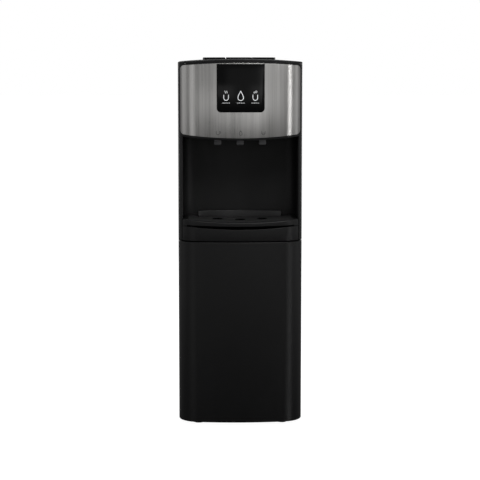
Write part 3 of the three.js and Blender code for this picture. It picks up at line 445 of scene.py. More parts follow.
post_edge = [POST_INNER - LEAD / 2, POST_INNER + LEAD / 2]
steel_edge = [STEEL_HALF + 0.0005, STEEL_HALF + 0.0007]
x = across(HALF, *post_edge, *steel_edge, *(STEEL_HALF - STEEL_CORNER * np.linspace(0, 1, 9) ** 2))
outline = wrapped(front_outline(x))
along = outline[0][:, 0]
is_post = np.abs(along) > POST_INNER
lower = np.where(is_post, frame_low.z, bowl(along, HEAD_LOW, SMILE))
upper = dome(along, frame_high.z, ARCH)
rebate_low, rebate_high = steel_edges(along, LEAD)
rebate = np.where(np.abs(along) < STEEL_HALF + 0.0006, 0.0017, 0.0)
frame_profile = (
    [(-SHELL, upper), (-SHELL, lower)] + round_edge(-0.0012, lower + 0.0012, 0.0012, -90)
    + [(0, rebate_low), (-rebate, rebate_low), (-rebate, rebate_high), (0, rebate_high)]
    + round_edge(-0.0008, upper - 0.0008, 0.0008, 0))
show("head_frame", [swept(outline, frame_profile)], black_shell, "cabinet", "front_frame")


# ----------------------------------------
# Steel skin: thin stainless sheet, brushed up and down, bent round the head and glued into the frame's rebate.
# A window with round lower corners is cut in it, and a small grey print marks the place of each tap.
def carve(piece, cutter):
    """Cuts one closed object out of another and throws the cutter away."""
    tool = piece.modifiers.new("cut", "BOOLEAN")
    tool.operation, tool.solver, tool.object = "DIFFERENCE", "EXACT", cutter
    graph = bpy.context.evaluated_depsgraph_get()
    whole = bpy.data.meshes.new_from_object(piece.evaluated_get(graph))
    piece.modifiers.remove(tool)
    piece.data = whole
    bpy.data.objects.remove(cutter)
    smooth(whole)


def brushed(name, slot, colour, roughness):
    """Stainless sheet: fine streaks along the brushing, and broad soft bands across it that are a painted
    reflection.
    """
    made = Finish(name, slot, Metallic=1.0, IOR=2.5)
    streaks = made.noise(60.0, 6.0, 0.7, (14, 14, 0.12))
    # painted reflection: broad soft bands across the sheet, lighter and darker in its colour
    painted_reflection_bands = made.noise(11.0, 4.0, 0.62, (6.5, 0.4, 0.04))
    clouds = made.noise(9.0, 4.0, 0.6, (1, 1, 1))
    shade = made.spread(streaks, 0, 0.35) + made.spread(painted_reflection_bands, 0, 0.65)
    gloss = made.spread(streaks, roughness - 0.05, roughness + 0.06) + made.spread(clouds, -0.02, 0.03)
    darker = tuple(0.52 * c for c in colour)
    return made.drive(Base_Color=made.tint(shade, darker, colour), Roughness=gloss,
                      Normal=made.bump(streaks, 0.00001, 0.6))


brushed_steel = brushed("brushed_stainless", "brushed_steel", (0.66, 0.65, 0.635), 0.30)
SINK = 0.0002
x = across(STEEL_HALF, window_high.x, *(STEEL_HALF - STEEL_CORNER * np.linspace(0, 1, 12) ** 2))
lower, upper = steel_edges(x)
steel_profile = ([(-0.0012, upper - 0.0002), (-0.0012, lower + 0.0002)]
                 + rounded_face(-SINK, lower, upper, 0.0004, 0.0004, 3))
steel_skin = make_mesh("steel_skin", [swept(front_outline(x), steel_profile)], brushed_steel)

WINDOW_HALF = window_high.x
WINDOW_CORNER = 0.010


def window_band(grow, outer, inner):
    """The display's outline as a band along the front: flat top, round lower corners."""
    half, radius = WINDOW_HALF + grow, WINDOW_CORNER + grow
    x = across(half, *(half - radius * np.linspace(0, 1, 12) ** 2))
    low, high = window_low.z - grow + corner_lift(x, half, radius), window_high.z + grow
    face = rounded_face(outer, low, high, 0.0005, 0.0005, 3)
    return swept(front_outline(x), [(inner, high), (inner, low)] + face)


carve(steel_skin, make_mesh("window_cutter", [window_band(0.0003, 0.004, -0.006)], brushed_steel))
fit(steel_skin, brushed_steel, "cabinet", "steel_fascia")


def stroke(path, width, offset=0.0, depth=0.0003, closed=False):
    """A drawn line as a thin flat bar that follows the front: the path gives (x, z), and the bar is as wide as
    the pen, measured square to the path."""
    path = np.asarray(path, float)
    ahead = np.roll(path, -1, 0) - np.roll(path, 1, 0)
    if not closed:
        ahead[0], ahead[-1] = path[1] - path[0], path[-1] - path[-2]
    ahead /= np.linalg.norm(ahead, axis=1)[:, None]
    side = points_at(-ahead[:, 1], ahead[:, 0]) * width / 2
    sides = np.stack([path + side, path - side, path - side, path + side], 1)
    place, normal = front_outline(sides[..., 0])
    out = np.array([offset, offset, offset - depth, offset - depth])[None, :, None]
    plan = place + normal * out
    points = np.concatenate([plan, sides[..., 1:]], -1)
    if closed:
        points = np.concatenate([points, points[:1]])
    return surface(points, around=True, caps=not closed)


def full_turn(steps):
    return np.linspace(0, 2 * math.pi, steps, endpoint=False)


def circle(centre, radius, steps=96, angles=None):
    """A closed outline: points on a circle and the outward normal at each."""
    turn = full_turn(steps) if angles is None else angles
    normal = points_at(np.cos(turn), np.sin(turn))
    return np.asarray(centre) + radius * normal, normal


def arc(centre, radius, start, end, steps=6):
    """Points on a circle from one angle to another, in degrees."""
    return circle(centre, radius, angles=np.radians(np.linspace(start, end, steps + 1)))[0]


def cup_path(x, z, half, tall):
    """A cup in outline: two upright sides and a round bottom."""
    bottom = arc((x, z - tall / 2 + half), half, 180, 360, 14)
    return np.concatenate([[[x - half, z + tall / 2]], bottom, [[x + half, z + tall / 2]]])


def drop_path(x, z, half, tall):
    """A water drop in outline: a circle whose top is drawn out to a point."""
    turn = full_turn(40)
    width = 1.30 * half * np.sin(turn) * np.sin(turn / 2) ** 1.5
    return points_at(x + width, z + tall / 2 * np.cos(turn))


taps = {name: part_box("tap_body_" + name) for name in ("hot", "ambient", "cold")}
tap_x = {name: (box[0].x + box[1].x) / 2 for name, box in taps.items()}
mark_ink = moulded("grey_print", "brushed_steel", (0.045, 0.045, 0.047), 0.5)
MARK_Z, MARK_PEN = steel_low.z + 0.0135, 0.0009


def mark(path, closed=False):
    return stroke(path, MARK_PEN, depth=0.0004, closed=closed)


hot_x, ambient_x, cold_x = tap_x.values()
marks = [
    mark(cup_path(hot_x, MARK_Z, 0.0042, 0.009)),
    mark(arc((hot_x + 0.0048, MARK_Z + 0.001), 0.0022, -80, 80, 8)),
    mark(drop_path(ambient_x, MARK_Z, 0.0040, 0.0115), closed=True),
    mark(cup_path(cold_x, MARK_Z, 0.0042, 0.009)),
    mark([[cold_x - 0.0034, MARK_Z - 0.0005], [cold_x + 0.0034, MARK_Z - 0.0005]]),
]
show("tap_marks", marks, mark_ink, "cabinet")


# ----------------------------------------
# Display window: a gloss-black acrylic panel let into the steel. Three printed signs glow white through it: a
# steaming cup, a drop and an iced cup, each over a plain bar.
def glossy(name, slot, colour, roughness, specular=0.2):
    """Polished black plastic: almost mirror-smooth, with faint wiping smears in its gloss."""
    made = Finish(name, slot, IOR=1.49, Specular_IOR_Level=specular)
    smears = made.noise(14.0, 5.0, 0.6, (1.6, 1, 0.5))
    ripple = made.noise(22.0, 2.0)
    return made.drive(Base_Color=made.tint(made.noise(5.0), tuple(0.7 * c for c in colour), colour),
                      Roughness=made.spread(smears, roughness, roughness + 0.05),
                      Normal=made.bump(ripple, 0.00004, 0.5))


gloss_black = glossy("gloss_black_acrylic", "gloss_black", (0.0016, 0.0016, 0.0018), 0.10)
show("display_window_panel", [window_band(0.0, -0.0001, -0.0022)], gloss_black, "cabinet", "display_window")

sign_ink = Finish("lit_white_print", "gloss_black", Roughness=0.5, Emission_Strength=0.42)
glow_shade = sign_ink.tint(sign_ink.noise(400.0), (0.80, 0.82, 0.84), (0.95, 0.96, 0.97))
sign_ink.drive(Base_Color=glow_shade, Emission_Color=glow_shade)
SIGN_PITCH = 0.0358
SIGN_Z = window_low.z + 0.0365
PEN = 0.0015
signs = []
for side in (-1, 1):
    signs.append(stroke(cup_path(side * SIGN_PITCH, SIGN_Z - 0.0004, 0.0058, 0.0137), PEN))
for lean in (-1, 1):
    wave = np.linspace(0, 1, 9)
    signs.append(stroke(points_at(-SIGN_PITCH + lean * 0.0021 + 0.0007 * np.sin(wave * 2 * math.pi),
                                  SIGN_Z + 0.0100 + 0.0060 * wave), PEN * 0.8))
LEANING_SQUARE = np.array([[1.2, 0.3], [-0.3, 1.2], [-1.2, -0.3], [0.3, -1.2]])
for x, z, half in ((-0.0022, 0.0120, 0.0017), (0.0024, 0.0136, 0.0020)):
    cube = np.array([SIGN_PITCH + x, SIGN_Z + z]) + half * LEANING_SQUARE
    signs.append(stroke(cube, PEN * 0.7, closed=True))
signs.append(stroke(drop_path(0.0, SIGN_Z + 0.0042, 0.0074, 0.0235), PEN, closed=True))
for i in (-1, 0, 1):
    for dash in range(4):
        left = i * SIGN_PITCH + (dash - 2) * 0.0050 + 0.0006
        signs.append(stroke([[left, SIGN_Z - 0.0137], [left + 0.0037, SIGN_Z - 0.0137]], 0.0010))
show("display_signs", signs, sign_ink, "cabinet")


# ----------------------------------------
# Top cover: an arched black moulding over the whole cabinet, with a soft outer edge and a round well for the
# bottle guard. A ring under the well carries the guard's weight.
cover_low, cover_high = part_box("top_cover")
collar_low, collar_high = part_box("bottle_collar")
collar_black = moulded("collar_black", "black_plastic", (0.0026, 0.0026, 0.0028), 0.50, specular=0.12)
COLLAR_R = (collar_high.x - collar_low.x) / 2
WELL = ((collar_low.x + collar_high.x) / 2, (collar_low.y + collar_high.y) / 2)
COVER_TOP = dome(0, frame_high.z + 0.0063, ARCH)
COVER_THICK = 0.006


def ring(points):
    """Joins a run of closed rows, the last to the first, into one ring-shaped surface."""
    return surface(np.concatenate([points, points[:1]]), around=True)


def turned(centre, profile, steps=64, angles=None):
    """A closed (radius, height) profile spun round an upright axis. Both may change with the angle."""
    return ring(set_out(circle(centre, 0.0, steps, angles), profile))


def loop_normals(points):
    """Outward normals of a closed anticlockwise outline, square to the chord between a point's neighbours."""
    chord = np.roll(points, -1, 0) - np.roll(points, 1, 0)
    chord /= np.linalg.norm(chord, axis=1)[:, None]
    return points_at(chord[:, 1], -chord[:, 0])


def rounded_back(half, front, back, radius, steps=8):
    """Right side from front to back, a round corner, the back, the other corner, and the left side again."""
    turn = np.linspace(0, math.pi / 2, steps + 1)
    right = points_at(half - radius + radius * np.cos(turn), back - radius + radius * np.sin(turn))
    run = points_at(half, np.linspace(front, back - radius, 8)[1:-1])
    middle = points_at(np.linspace(half - radius, radius - half, 14)[1:-1], back)
    return np.concatenate([run, right, middle, right[::-1] * [-1, 1], run[::-1] * [-1, 1]])


def stacked(rows):
    """Closes a stack of closed rows, each given as plan points and heights, into one ring-shaped surface."""
    return ring(np.stack([points_at(*plan.T, height) for plan, height in rows]))


cover_loop = np.concatenate([front_outline(across(HALF))[0], rounded_back(HALF, CORNER_Y, cover_high.y, 0.004)])
cover_normal = loop_normals(cover_loop)
spoke = cover_loop - WELL
spoke /= np.linalg.norm(spoke, axis=1)[:, None]
WELL_R = COLLAR_R + 0.001
well_loop = np.asarray(WELL) + spoke * WELL_R
edge = 0.0026
rows = [(well_loop, dome(well_loop[:, 0], COVER_TOP - COVER_THICK, ARCH)),
        (well_loop, dome(well_loop[:, 0], COVER_TOP - 0.0008, ARCH))]
for t in np.linspace(0, 1, 9):
    plan = (well_loop + spoke * 0.0008) * (1 - t) + (cover_loop - cover_normal * edge) * t
    rows.append((plan, dome(plan[:, 0], COVER_TOP, ARCH)))
for a in np.linspace(0, math.pi / 2, 6)[1:]:
    rows.append((cover_loop - cover_normal * edge * (1 - math.sin(a)),
                 dome(cover_loop[:, 0], COVER_TOP - edge * (1 - math.cos(a)), ARCH)))
rows.append((cover_loop, dome(cover_loop[:, 0], COVER_TOP - COVER_THICK, ARCH)))
COVER_FOOT = float(dome(HALF, COVER_TOP - COVER_THICK, ARCH)) - 0.0003
back_x = np.linspace(-HALF + 0.004, HALF - 0.004, 40)
back_line = points_at(back_x, cover_high.y - 0.0005), np.tile([0.0, 1.0], (40, 1))
under = dome(back_x, COVER_TOP - COVER_THICK + 0.0005, ARCH)
flap_foot = COVER_FOOT - 0.0002
turned_down = swept(back_line, [(-0.0014, under), (-0.0014, flap_foot), (0, flap_foot), (0, under)])
ledge = [(WELL_R - 0.007, cover_low.z), (WELL_R + 0.0025, cover_low.z), (WELL_R + 0.0025, COVER_TOP - 0.007),
         (WELL_R, COVER_TOP - 0.007), (WELL_R, collar_low.z - LEAD), (WELL_R - 0.007, collar_low.z - LEAD)]
show("top_cover_shell", [stacked(rows), turned(WELL, ledge, 96), turned_down],
     black_shell, "cabinet", "top_cover")


# ----------------------------------------
# Bottle guard: a notched collar, the funnel that steadies the bottle's shoulder and neck, and the feed probe
# that opens the bottle's cap. The three lift out of the well together for cleaning.
NOTCHES, NOTCH_HALF, NOTCH_DEEP = 8, 0.0030, 0.0075
COLLAR_WALL = 0.009
notch_turns = (np.arange(NOTCHES) + 0.5) * 2 * math.pi / NOTCHES
slope = [-1.25, -1.0, 1.0, 1.25]
collar_turns = np.sort(np.concatenate([full_turn(144),
                                       *[notch_turns + s * NOTCH_HALF / COLLAR_R for s in slope]]))
gap_angle = np.abs(collar_turns * NOTCHES / (2 * math.pi) % 1 - 0.5) * 2 * math.pi / NOTCHES
fall = np.clip((1.25 - gap_angle * COLLAR_R / NOTCH_HALF) / 0.25, 0, 1)
rim = collar_high.z - NOTCH_DEEP * fall
inner = COLLAR_R - COLLAR_WALL
collar_profile = (
    [(inner, collar_low.z), (COLLAR_R - 0.001, collar_low.z), (COLLAR_R, collar_low.z + 0.001)]
    + [(o, rim + h) for o, h in round_edge(COLLAR_R - 0.0015, -0.0015, 0.0015, 0)]
    + [(inner + 0.0035, rim), (inner + 0.0022, rim - 0.0008), (inner, rim - 0.0045)])
show("notched_collar", [turned(WELL, collar_profile, angles=collar_turns)],
     collar_black, "bottle_guard", "bottle_collar")

funnel_low, funnel_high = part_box("bottle_funnel")
FUNNEL_R = (funnel_high.x - funnel_low.x) / 2
NECK = 0.029
turn = full_turn(288)
rib = 0.0011 * np.clip((np.cos(turn * 24) - 0.72) / 0.2, 0, 1)
low, top = funnel_low.z, funnel_high.z
CONE_LOW, CONE_HIGH = 0.868, 0.8897
funnel_profile = (
    [(NECK, low), (NECK + 0.0024, low), (NECK + 0.0024, CONE_LOW), (FUNNEL_R, CONE_HIGH),
     (FUNNEL_R, top - 0.0008), (FUNNEL_R - 0.0008, top), (FUNNEL_R - 0.0018, top),
     (FUNNEL_R - 0.0025, top - 0.0010),
     (FUNNEL_R - 0.0025, CONE_HIGH + 0.0038), (FUNNEL_R - 0.0045, CONE_HIGH + 0.0008),
     (FUNNEL_R - 0.012, CONE_HIGH - 0.0020 + rib), (NECK + 0.006, CONE_LOW + 0.0049 + rib),
     (NECK + 0.002, CONE_LOW + 0.0030), (NECK, CONE_LOW + 0.0005)])
show("bottle_funnel_cup", [turned(WELL, funnel_profile, angles=turn)],
     black_shell, "bottle_guard", "bottle_funnel")

probe_low, probe_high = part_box("feed_probe")
tap_plastic = moulded("grey_tap_plastic", "tap_grey", (0.135, 0.135, 0.140), 0.34, 0.00002, 0.45)
flute = 1 - 0.30 * np.clip(np.cos(turn * 4), 0, 1) ** 0.7
foot, top = probe_low.z, probe_high.z
probe_profile = [(r, foot + h) for r, h in (
    (0, 0), (0.0283, 0), (0.0285, 0.0005), (0.0285, 0.0025), (0.0275, 0.003), (0.0112, 0.003), (0.0098, 0.0045),
    (0.0095 * flute, 0.0075), (0.0093 * flute, 0.024), (0.0093, 0.027), (0.0090, 0.042), (0.0080, 0.0455),
    (0.0060, 0.0480))] + [(0.0032, top - 0.0004), (0, top)]
show("bottle_feed_probe", [turned(WELL, probe_profile, angles=turn)], tap_plastic, "bottle_guard", "feed_probe")


# ----------------------------------------
# Side panels: one sheet of painted steel each, folded round at the back as a flange that the rear panel
# screws to.
def painted(name, slot, colour, roughness):
    """Powder-coated sheet: soft orange peel, a little mottle in the gloss, and slow changes of shade."""
    made = Finish(name, slot, IOR=1.5, Specular_IOR_Level=0.28)
    peel = made.noise(420.0, 2.0, 0.45)
    slow = made.noise(5.0, 3.0)
    return made.drive(Base_Color=made.tint(slow, tuple(0.85 * c for c in colour), colour),
                      Roughness=made.spread(made.noise(26.0, 4.0), roughness - 0.03, roughness + 0.05),
                      Normal=made.bump(peel, 0.00006, 0.8))


def prism(loop, low, high, edge=0.0003):
    """A closed outline raised from low to high, with a small chamfer round both ends."""
    normal = loop_normals(loop)
    inset = loop - normal * edge
    levels = [(inset, low), (loop, low + edge), (loop, high - edge), (inset, high)]
    return surface(np.stack([points_at(*plan.T, height) for plan, height in levels]), around=True, caps=True)


black_paint = painted("black_powder_coat", "black_paint", (0.0110, 0.0110, 0.0115), 0.40)
SHEET = 0.0012
for side, name in ((-1, "left"), (1, "right")):
    low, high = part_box("side_panel_" + name)
    rear_y, fold = high.y, 0.0025
    fold_at = (HALF - fold, rear_y - fold)
    outer = np.concatenate([[[HALF, low.y]], arc(fold_at, fold, 0, 90), [[HALF - 0.014, rear_y]]])
    inner = np.concatenate([[[HALF - 0.014, rear_y - SHEET]], arc(fold_at, fold - SHEET, 90, 0),
                            [[HALF - SHEET, low.y]]])
    loop = np.concatenate([outer, inner])
    if side < 0:
        loop = (loop * [-1, 1])[::-1]
    show("side_sheet_" + name, [prism(loop, low.z, COVER_FOOT)], black_paint, "cabinet", "side_panel_" + name)


# ----------------------------------------
# Dispensing recess: a black liner moulded in one piece, with a tall back wall, large round back corners, a
# shelf that the drip tray runs on, and a ceiling with a slot for each tap.
RECESS_HALF = POST_INNER - 0.0025
RECESS_BACK = liner_high.y - 0.0025
RECESS_CORNER = 0.028
CEILING = liner_high.z - 0.0025
SHELF = liner_low.z + 0.0025
LINER_FRONT = -0.126


def recess_path(grow=0.0):
    """The liner's wall in plan, from the left front edge round the back to the right front edge."""
    half, back, radius = RECESS_HALF + grow, RECESS_BACK + grow, RECESS_CORNER + grow
    corner = rounded_back(half, LINER_FRONT, back, radius, 14)
    return np.concatenate([[[half, LINER_FRONT]], corner, [[-half, LINER_FRONT]]])


recess_black = moulded("recess_black", "black_plastic", (0.0060, 0.0060, 0.0063), 0.53, specular=0.28)
inner, outer = recess_path(), recess_path(0.0025)
wall_loop = np.concatenate([outer, inner[::-1]])
ceiling_front = front_outline(across(RECESS_HALF + 0.002))
ceiling_loop = np.concatenate([ceiling_front[0] - ceiling_front[1] * 0.0034, recess_path()[1:-1]])
show("recess_walls", [prism(wall_loop, SHELF + 0.0001, CEILING), prism(outer, liner_low.z, SHELF)],
     recess_black, "cabinet", "recess_liner")
ceiling = make_mesh("recess_ceiling", [prism(ceiling_loop, CEILING, liner_high.z)], recess_black)


def rectangle(x0, x1, y0, y1, radius=0.001, steps=4):
    return np.concatenate([arc((x1 - radius, y0 + radius), radius, -90, 0, steps),
                           arc((x1 - radius, y1 - radius), radius, 0, 90, steps),
                           arc((x0 + radius, y1 - radius), radius, 90, 180, steps),
                           arc((x0 + radius, y0 + radius), radius, 180, 270, steps)])


tap_y = {name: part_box("tap_stem_" + name)[0].y + 0.007 for name in taps}
for name in taps:
    x, y = tap_x[name], tap_y[name]
    slot = prism(rectangle(x - 0.011, x + 0.011, y - 0.028, y + 0.0076, 0.003),
                 CEILING - 0.003, liner_high.z + 0.003)
    carve(ceiling, make_mesh("slot_cutter", [slot], black_shell))
fit(ceiling, recess_black, "cabinet")


# ----------------------------------------
# Taps: each has a body bolted over its slot with a spout through it, and a push lever on a steel pin. A cup
# pressed against the flared paddle swings it back, and its fork lifts the spring-loaded stem off the seat.
def blade(x, rows, columns=28):
    """A flat handle with round edges: each row is (height, middle y, width, thickness), and its section is a
    superellipse, a circle whose sine and cosine are raised to a power below one."""
    turn = full_turn(columns)
    fat = lambda value, power: np.sign(value) * np.abs(value) ** power
    return surface(np.stack([points_at(x + width / 2 * fat(np.cos(turn), 0.35),
                                       middle + thick / 2 * fat(np.sin(turn), 0.6), height)
                             for height, middle, width, thick in rows]), around=True, caps=True)


def tube(path, radius, up=(0.0, 1.0, 0.0), sides=14):
    """A round bar along a path: at each point a circle square to the path, set out from two directions, one of
    them square to both the path and a fixed direction."""
    path = np.asarray(path, float)
    ahead = np.gradient(path, axis=0)
    ahead /= np.linalg.norm(ahead, axis=1)[:, None]
    first = np.cross(ahead, up)
    first /= np.linalg.norm(first, axis=1)[:, None]
    second = np.cross(ahead, first)
    turn = full_turn(sides)[None, :, None]
    points = path[:, None] + radius * (first[:, None] * np.cos(turn) + second[:, None] * np.sin(turn))
    return surface(points, around=True, caps=True)


def block(x, half, front, back, low, high, radius):
    """An upright bar about a middle x, with a rounded rectangle as its section."""
    return prism(rectangle(x - half, x + half, front, back, radius), low, high)


SPOUT_R = 0.0065
CHAMBER_R, CHAMBER_LOW, CHAMBER_HIGH, BODY_HIGH = 0.008, 0.743, 0.770, 0.778
PIVOT_Z = 0.780
for name, body_box in taps.items():
    x, y = tap_x[name], tap_y[name]
    spout_low = body_box[0].z
    flange = liner_high.z + LEAD
    profile = [(0.0045, spout_low + 0.0004), (0.0049, spout_low), (0.0061, spout_low),
               (SPOUT_R, spout_low + 0.0005), (SPOUT_R, spout_low + 0.0035),
               (0.0060, spout_low + 0.0040), (0.0060, flange - 0.006),
               (SPOUT_R, flange - 0.004), (SPOUT_R, flange), (0.0104, flange), (0.0104, BODY_HIGH - 0.0015),
               (0.0098, BODY_HIGH), (0.0027, BODY_HIGH), (0.0027, CHAMBER_HIGH), (CHAMBER_R, CHAMBER_HIGH),
               (CHAMBER_R, CHAMBER_LOW), (0.0045, CHAMBER_LOW)]
    ears = [block(x + s * 0.0108, 0.0014, y - 0.0165, y + 0.002, CHAMBER_HIGH - 0.002, PIVOT_Z + 0.004, 0.0005)
            for s in (-1, 1)]
    inlet_z = CHAMBER_LOW + 0.006
    inlet = tube([[x, y + 0.0085, inlet_z], [x, y + 0.0205, inlet_z]], 0.0038, up=(0, 0, 1))
    show("tap_spout_" + name, [turned((x, y), profile, 40), inlet, *ears], tap_plastic, "cabinet",
         "tap_body_" + name)

    lever_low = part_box("tap_lever_" + name)[0]
    t = np.linspace(0, 1, 34)
    height = lever_low.z + (PIVOT_Z + 0.0005 - lever_low.z) * t
    flare = np.exp(-(t * 3.4) ** 1.3)
    width = 0.0142 + 0.0042 * flare
    width *= np.clip(1 - ((0.03 - t) / 0.03).clip(0, 1) ** 2 * 0.25, 0, 1)
    thick = 0.0040 - 0.0013 * np.exp(-((t - 0.17) / 0.10) ** 2)
    thick *= 1 - 0.55 * ((0.02 - t) / 0.02).clip(0, 1) ** 2
    middle = lever_low.y + 0.0020 + (0.0040 - thick) * 0.45
    paddle = blade(x, np.stack([height, middle, width, thick], -1))
    pivot_y = y - 0.020
    hub = tube([[x - 0.0086, pivot_y, PIVOT_Z], [x + 0.0086, pivot_y, PIVOT_Z]], 0.004, up=(0, 0, 1), sides=20)
    prongs = [block(x + s * 0.0046, 0.0015, pivot_y, y + 0.006, PIVOT_Z + 0.0006, PIVOT_Z + 0.003, 0.0004)
              for s in (-1, 1)]
    show("tap_paddle_" + name, [paddle, hub, *prongs], tap_plastic, "lever_" + name, "tap_lever_" + name)


# ----------------------------------------
# Tap springs: a coil of stainless wire in each tap's chamber, wound closer at both ends, that holds the stem
# down on its seat and shortens as the lever lifts the stem. Each coil is made at rest, its top against the
# chamber's roof, with a mesh of its own.
bare_steel = brushed("drawn_stainless", "bare_steel", (0.66, 0.66, 0.67), 0.26)
SPRING_R, SPRING_WIRE_R, SPRING_TURNS, STEM_LIFT = 0.0046, 0.0006, 5, 0.0036


def coil(centre, low, high, radius, wire, turns):
    """A helix of round wire: the angle grows evenly, and the height follows it less a little of its sine, so
    the first and last turns lie closer together."""
    t = np.linspace(0, 1, turns * 28 + 1)
    rise = t - 0.1 * np.sin(2 * math.pi * t)
    angle = 2 * math.pi * turns * t
    path = points_at(centre[0] + radius * np.cos(angle), centre[1] + radius * np.sin(angle),
                     low + wire + (high - low - 2 * wire) * rise)
    return tube(path, wire, up=(0, 0, 1), sides=10)


for name in taps:
    spring_low, spring_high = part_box("tap_spring_" + name)
    low, high = spring_low.z + 0.00005, spring_high.z - 0.00005
    x, y = tap_x[name], tap_y[name]
    spring = show("tap_coil_" + name, [coil((x, y), low, high, SPRING_R, SPRING_WIRE_R, SPRING_TURNS)],
                  bare_steel, "cabinet", "tap_spring_" + name)
    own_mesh(spring)


# ----------------------------------------
# Drip tray: a drawer between the posts. Its lip bows with the front and dips in the middle, and a crescent
# under the lip gives the fingers a hold. The lip is one moulding with the basin, and a curved fascia clips on
# below it.
tray_low, tray_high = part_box("drip_tray")
grille_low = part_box("drip_grille")[0]
fascia_low, fascia_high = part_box("tray_fascia")
TRAY_TOP = grille_low.z + 0.003
DISH = 1.400
GRIP_TOP = fascia_high.z + LEAD
GRIP_HALF = 0.133
TRAY_HALF = tray_high.x - 0.0007
TRAY_BACK = tray_high.y


def tray_loop(inset=0.0):
    """The tray in plan: the bowed front, then sides that draw in a little behind the posts, round corners."""
    x = across(TRAY_HALF, GRIP_HALF, GRIP_HALF + 0.0004)
    back = rounded_back(TRAY_HALF - 0.0024, -0.118, TRAY_BACK, 0.028)
    loop = np.concatenate([front_outline(x)[0], back])
    return loop - loop_normals(loop) * inset


def dished(loop):
    """Height of the tray's dished top at each point of an outline."""
    return bowl(loop[:, 0], TRAY_TOP, DISH)


outer = tray_loop()
normal = loop_normals(outer)
dish = dished(outer)
in_grip = (np.abs(outer[:, 0]) < GRIP_HALF + 0.0002) & (outer[:, 1] < -0.12)
lip_bottom = GRIP_TOP + np.where(in_grip, outer[:, 0] ** 2 / (2 * 3.1), 0)
edge = 0.0042
middle = np.array([0.0, -0.093])
rows = [(outer - normal * 0.0008, lip_bottom), (outer, lip_bottom + 0.0008)]
for a in np.linspace(0, math.pi / 2, 7):
    rows.append((outer - normal * edge * (1 - math.cos(a)), dish - edge * (1 - math.sin(a))))
seat, seat_wall = tray_loop(0.0120), tray_loop(0.0180)
seat_dish = dished(seat)
rows += [(tray_loop(0.0114), dished(tray_loop(0.0114))), (seat, seat_dish - 0.0006), (seat, seat_dish - 0.0034),
         (seat_wall, seat_dish - 0.0036), (seat_wall, seat_dish - 0.0056),
         (tray_loop(0.0160), GRIP_TOP - 0.001), (tray_loop(0.0150), lip_bottom)]
show("tray_lip", [stacked(rows)], black_shell, "drawer", "drip_tray")

# The basin below the lip is in a darker, duller black: painted shade for the hollow seen through the grille's
# holes
shade_black_finish = moulded("painted_shade_black", "black_plastic", (0.0012, 0.0012, 0.0012), 0.75, 0.00004, 0.04)
floor_edge = tray_loop(0.0240)
rows = [(seat_wall, tray_low.z + 0.003), (tray_loop(0.0172), seat_dish - 0.0058),
        (tray_loop(0.0196), seat_dish - 0.0058), (tray_loop(0.0205), tray_low.z + 0.006),
        (floor_edge, tray_low.z + 0.0026)]
rows += [(middle + (floor_edge - middle) * t, tray_low.z + 0.0026 - 0.0002 * (1 - t))
         for t in (0.66, 0.33, 0.0)]
rows += [(middle + (floor_edge - middle) * t, tray_low.z) for t in (0.0, 0.5, 1.0)]
show("tray_basin", [stacked(rows)], shade_black_finish, "drawer")

FASCIA_HALF = fascia_high.x - 0.0007
x = across(FASCIA_HALF, GRIP_HALF, *np.linspace(0.11, 0.14, 11))
fascia_line = front_outline(x)
upper = np.minimum(fascia_high.z, bowl(x, fascia_high.z - 0.0070, 1.18))
low = fascia_low.z
fascia_profile = (
    [(-SHELL, upper - 0.0004), (-SHELL, low + SHELL), (-0.014, low + SHELL), (-0.014, low)]
    + rounded_face(0, low, upper, 0.0010, 0.0014))
grip_back = block(0, 0.126, -0.1505, -0.1466, low, fascia_high.z - 0.0002, 0.0006)
FLOOR_LOW, FLOOR_HIGH = low + 0.016, low + 0.0185
grip_floor = swept(front_outline(across(0.122)), [(-0.0032, FLOOR_LOW), (-0.0032, FLOOR_HIGH),
                                                  (-0.0142, FLOOR_HIGH), (-0.0142, FLOOR_LOW)])
show("tray_front", [swept(fascia_line, fascia_profile), grip_floor], black_shell, "drawer", "tray_fascia")
# The grip's back wall takes the darker black: painted shade in the crescent under the lip
show("finger_grip_back", [grip_back], shade_black_finish, "drawer")

# Grille: a dished black plate that drops into the tray's seat, with a drain hole under each spout
HOLE_R, PLATE = 0.012, 0.0030


def pierced_sheet(outline, centres, radius, spacing=0.006):
    """Triangles that fill an outline round some circular holes, all in plan: a Delaunay mesh over the outline,
    the circles and a square net of points, without the triangles whose middle falls in a hole."""
    loops = [outline] + [circle(centre, radius, 48)[0] for centre in centres]
    low, high = outline.min(0), outline.max(0)
    steps = [np.arange(low[i], high[i], spacing) for i in (0, 1)]
    net = np.stack(np.meshgrid(*steps), -1).reshape(-1, 2)
    clear = np.array([np.linalg.norm(net - centre, axis=1) > radius + 0.002 for centre in centres]).all(0)
    net = net[clear]
    edges, start = [], 0
    for loop in loops:
        edges += [(start + i, start + (i + 1) % len(loop)) for i in range(len(loop))]
        start += len(loop)
    points = np.concatenate(loops + [net])
    made = delaunay_2d_cdt([Vector(p) for p in points.tolist()], edges, [list(range(len(outline)))], 1, 1e-7)
    places = np.array([tuple(p) for p in made[0]])
    faces = [list(f) for f in made[2]
             if min(np.linalg.norm(places[list(f)].mean(0) - centre) for centre in centres) > radius * 0.99]
    return places, faces


def thickened(places, faces, top, thick):
    """Two copies of a flat sheet, one below the other, joined by a wall along every edge that has one face."""
    sides = {}
    for face in faces:
        for a, b in zip(face, face[1:] + face[:1]):
            sides[(a, b)] = (b, a) not in sides
            if (b, a) in sides:
                sides[(b, a)] = False
    count = len(places)
    walls = [[b, a, a + count, b + count] for (a, b), single in sides.items() if single]
    points = np.concatenate([np.column_stack([places, top]), np.column_stack([places, top - thick])])
    return points, faces + [[v + count for v in face[::-1]] for face in faces] + walls


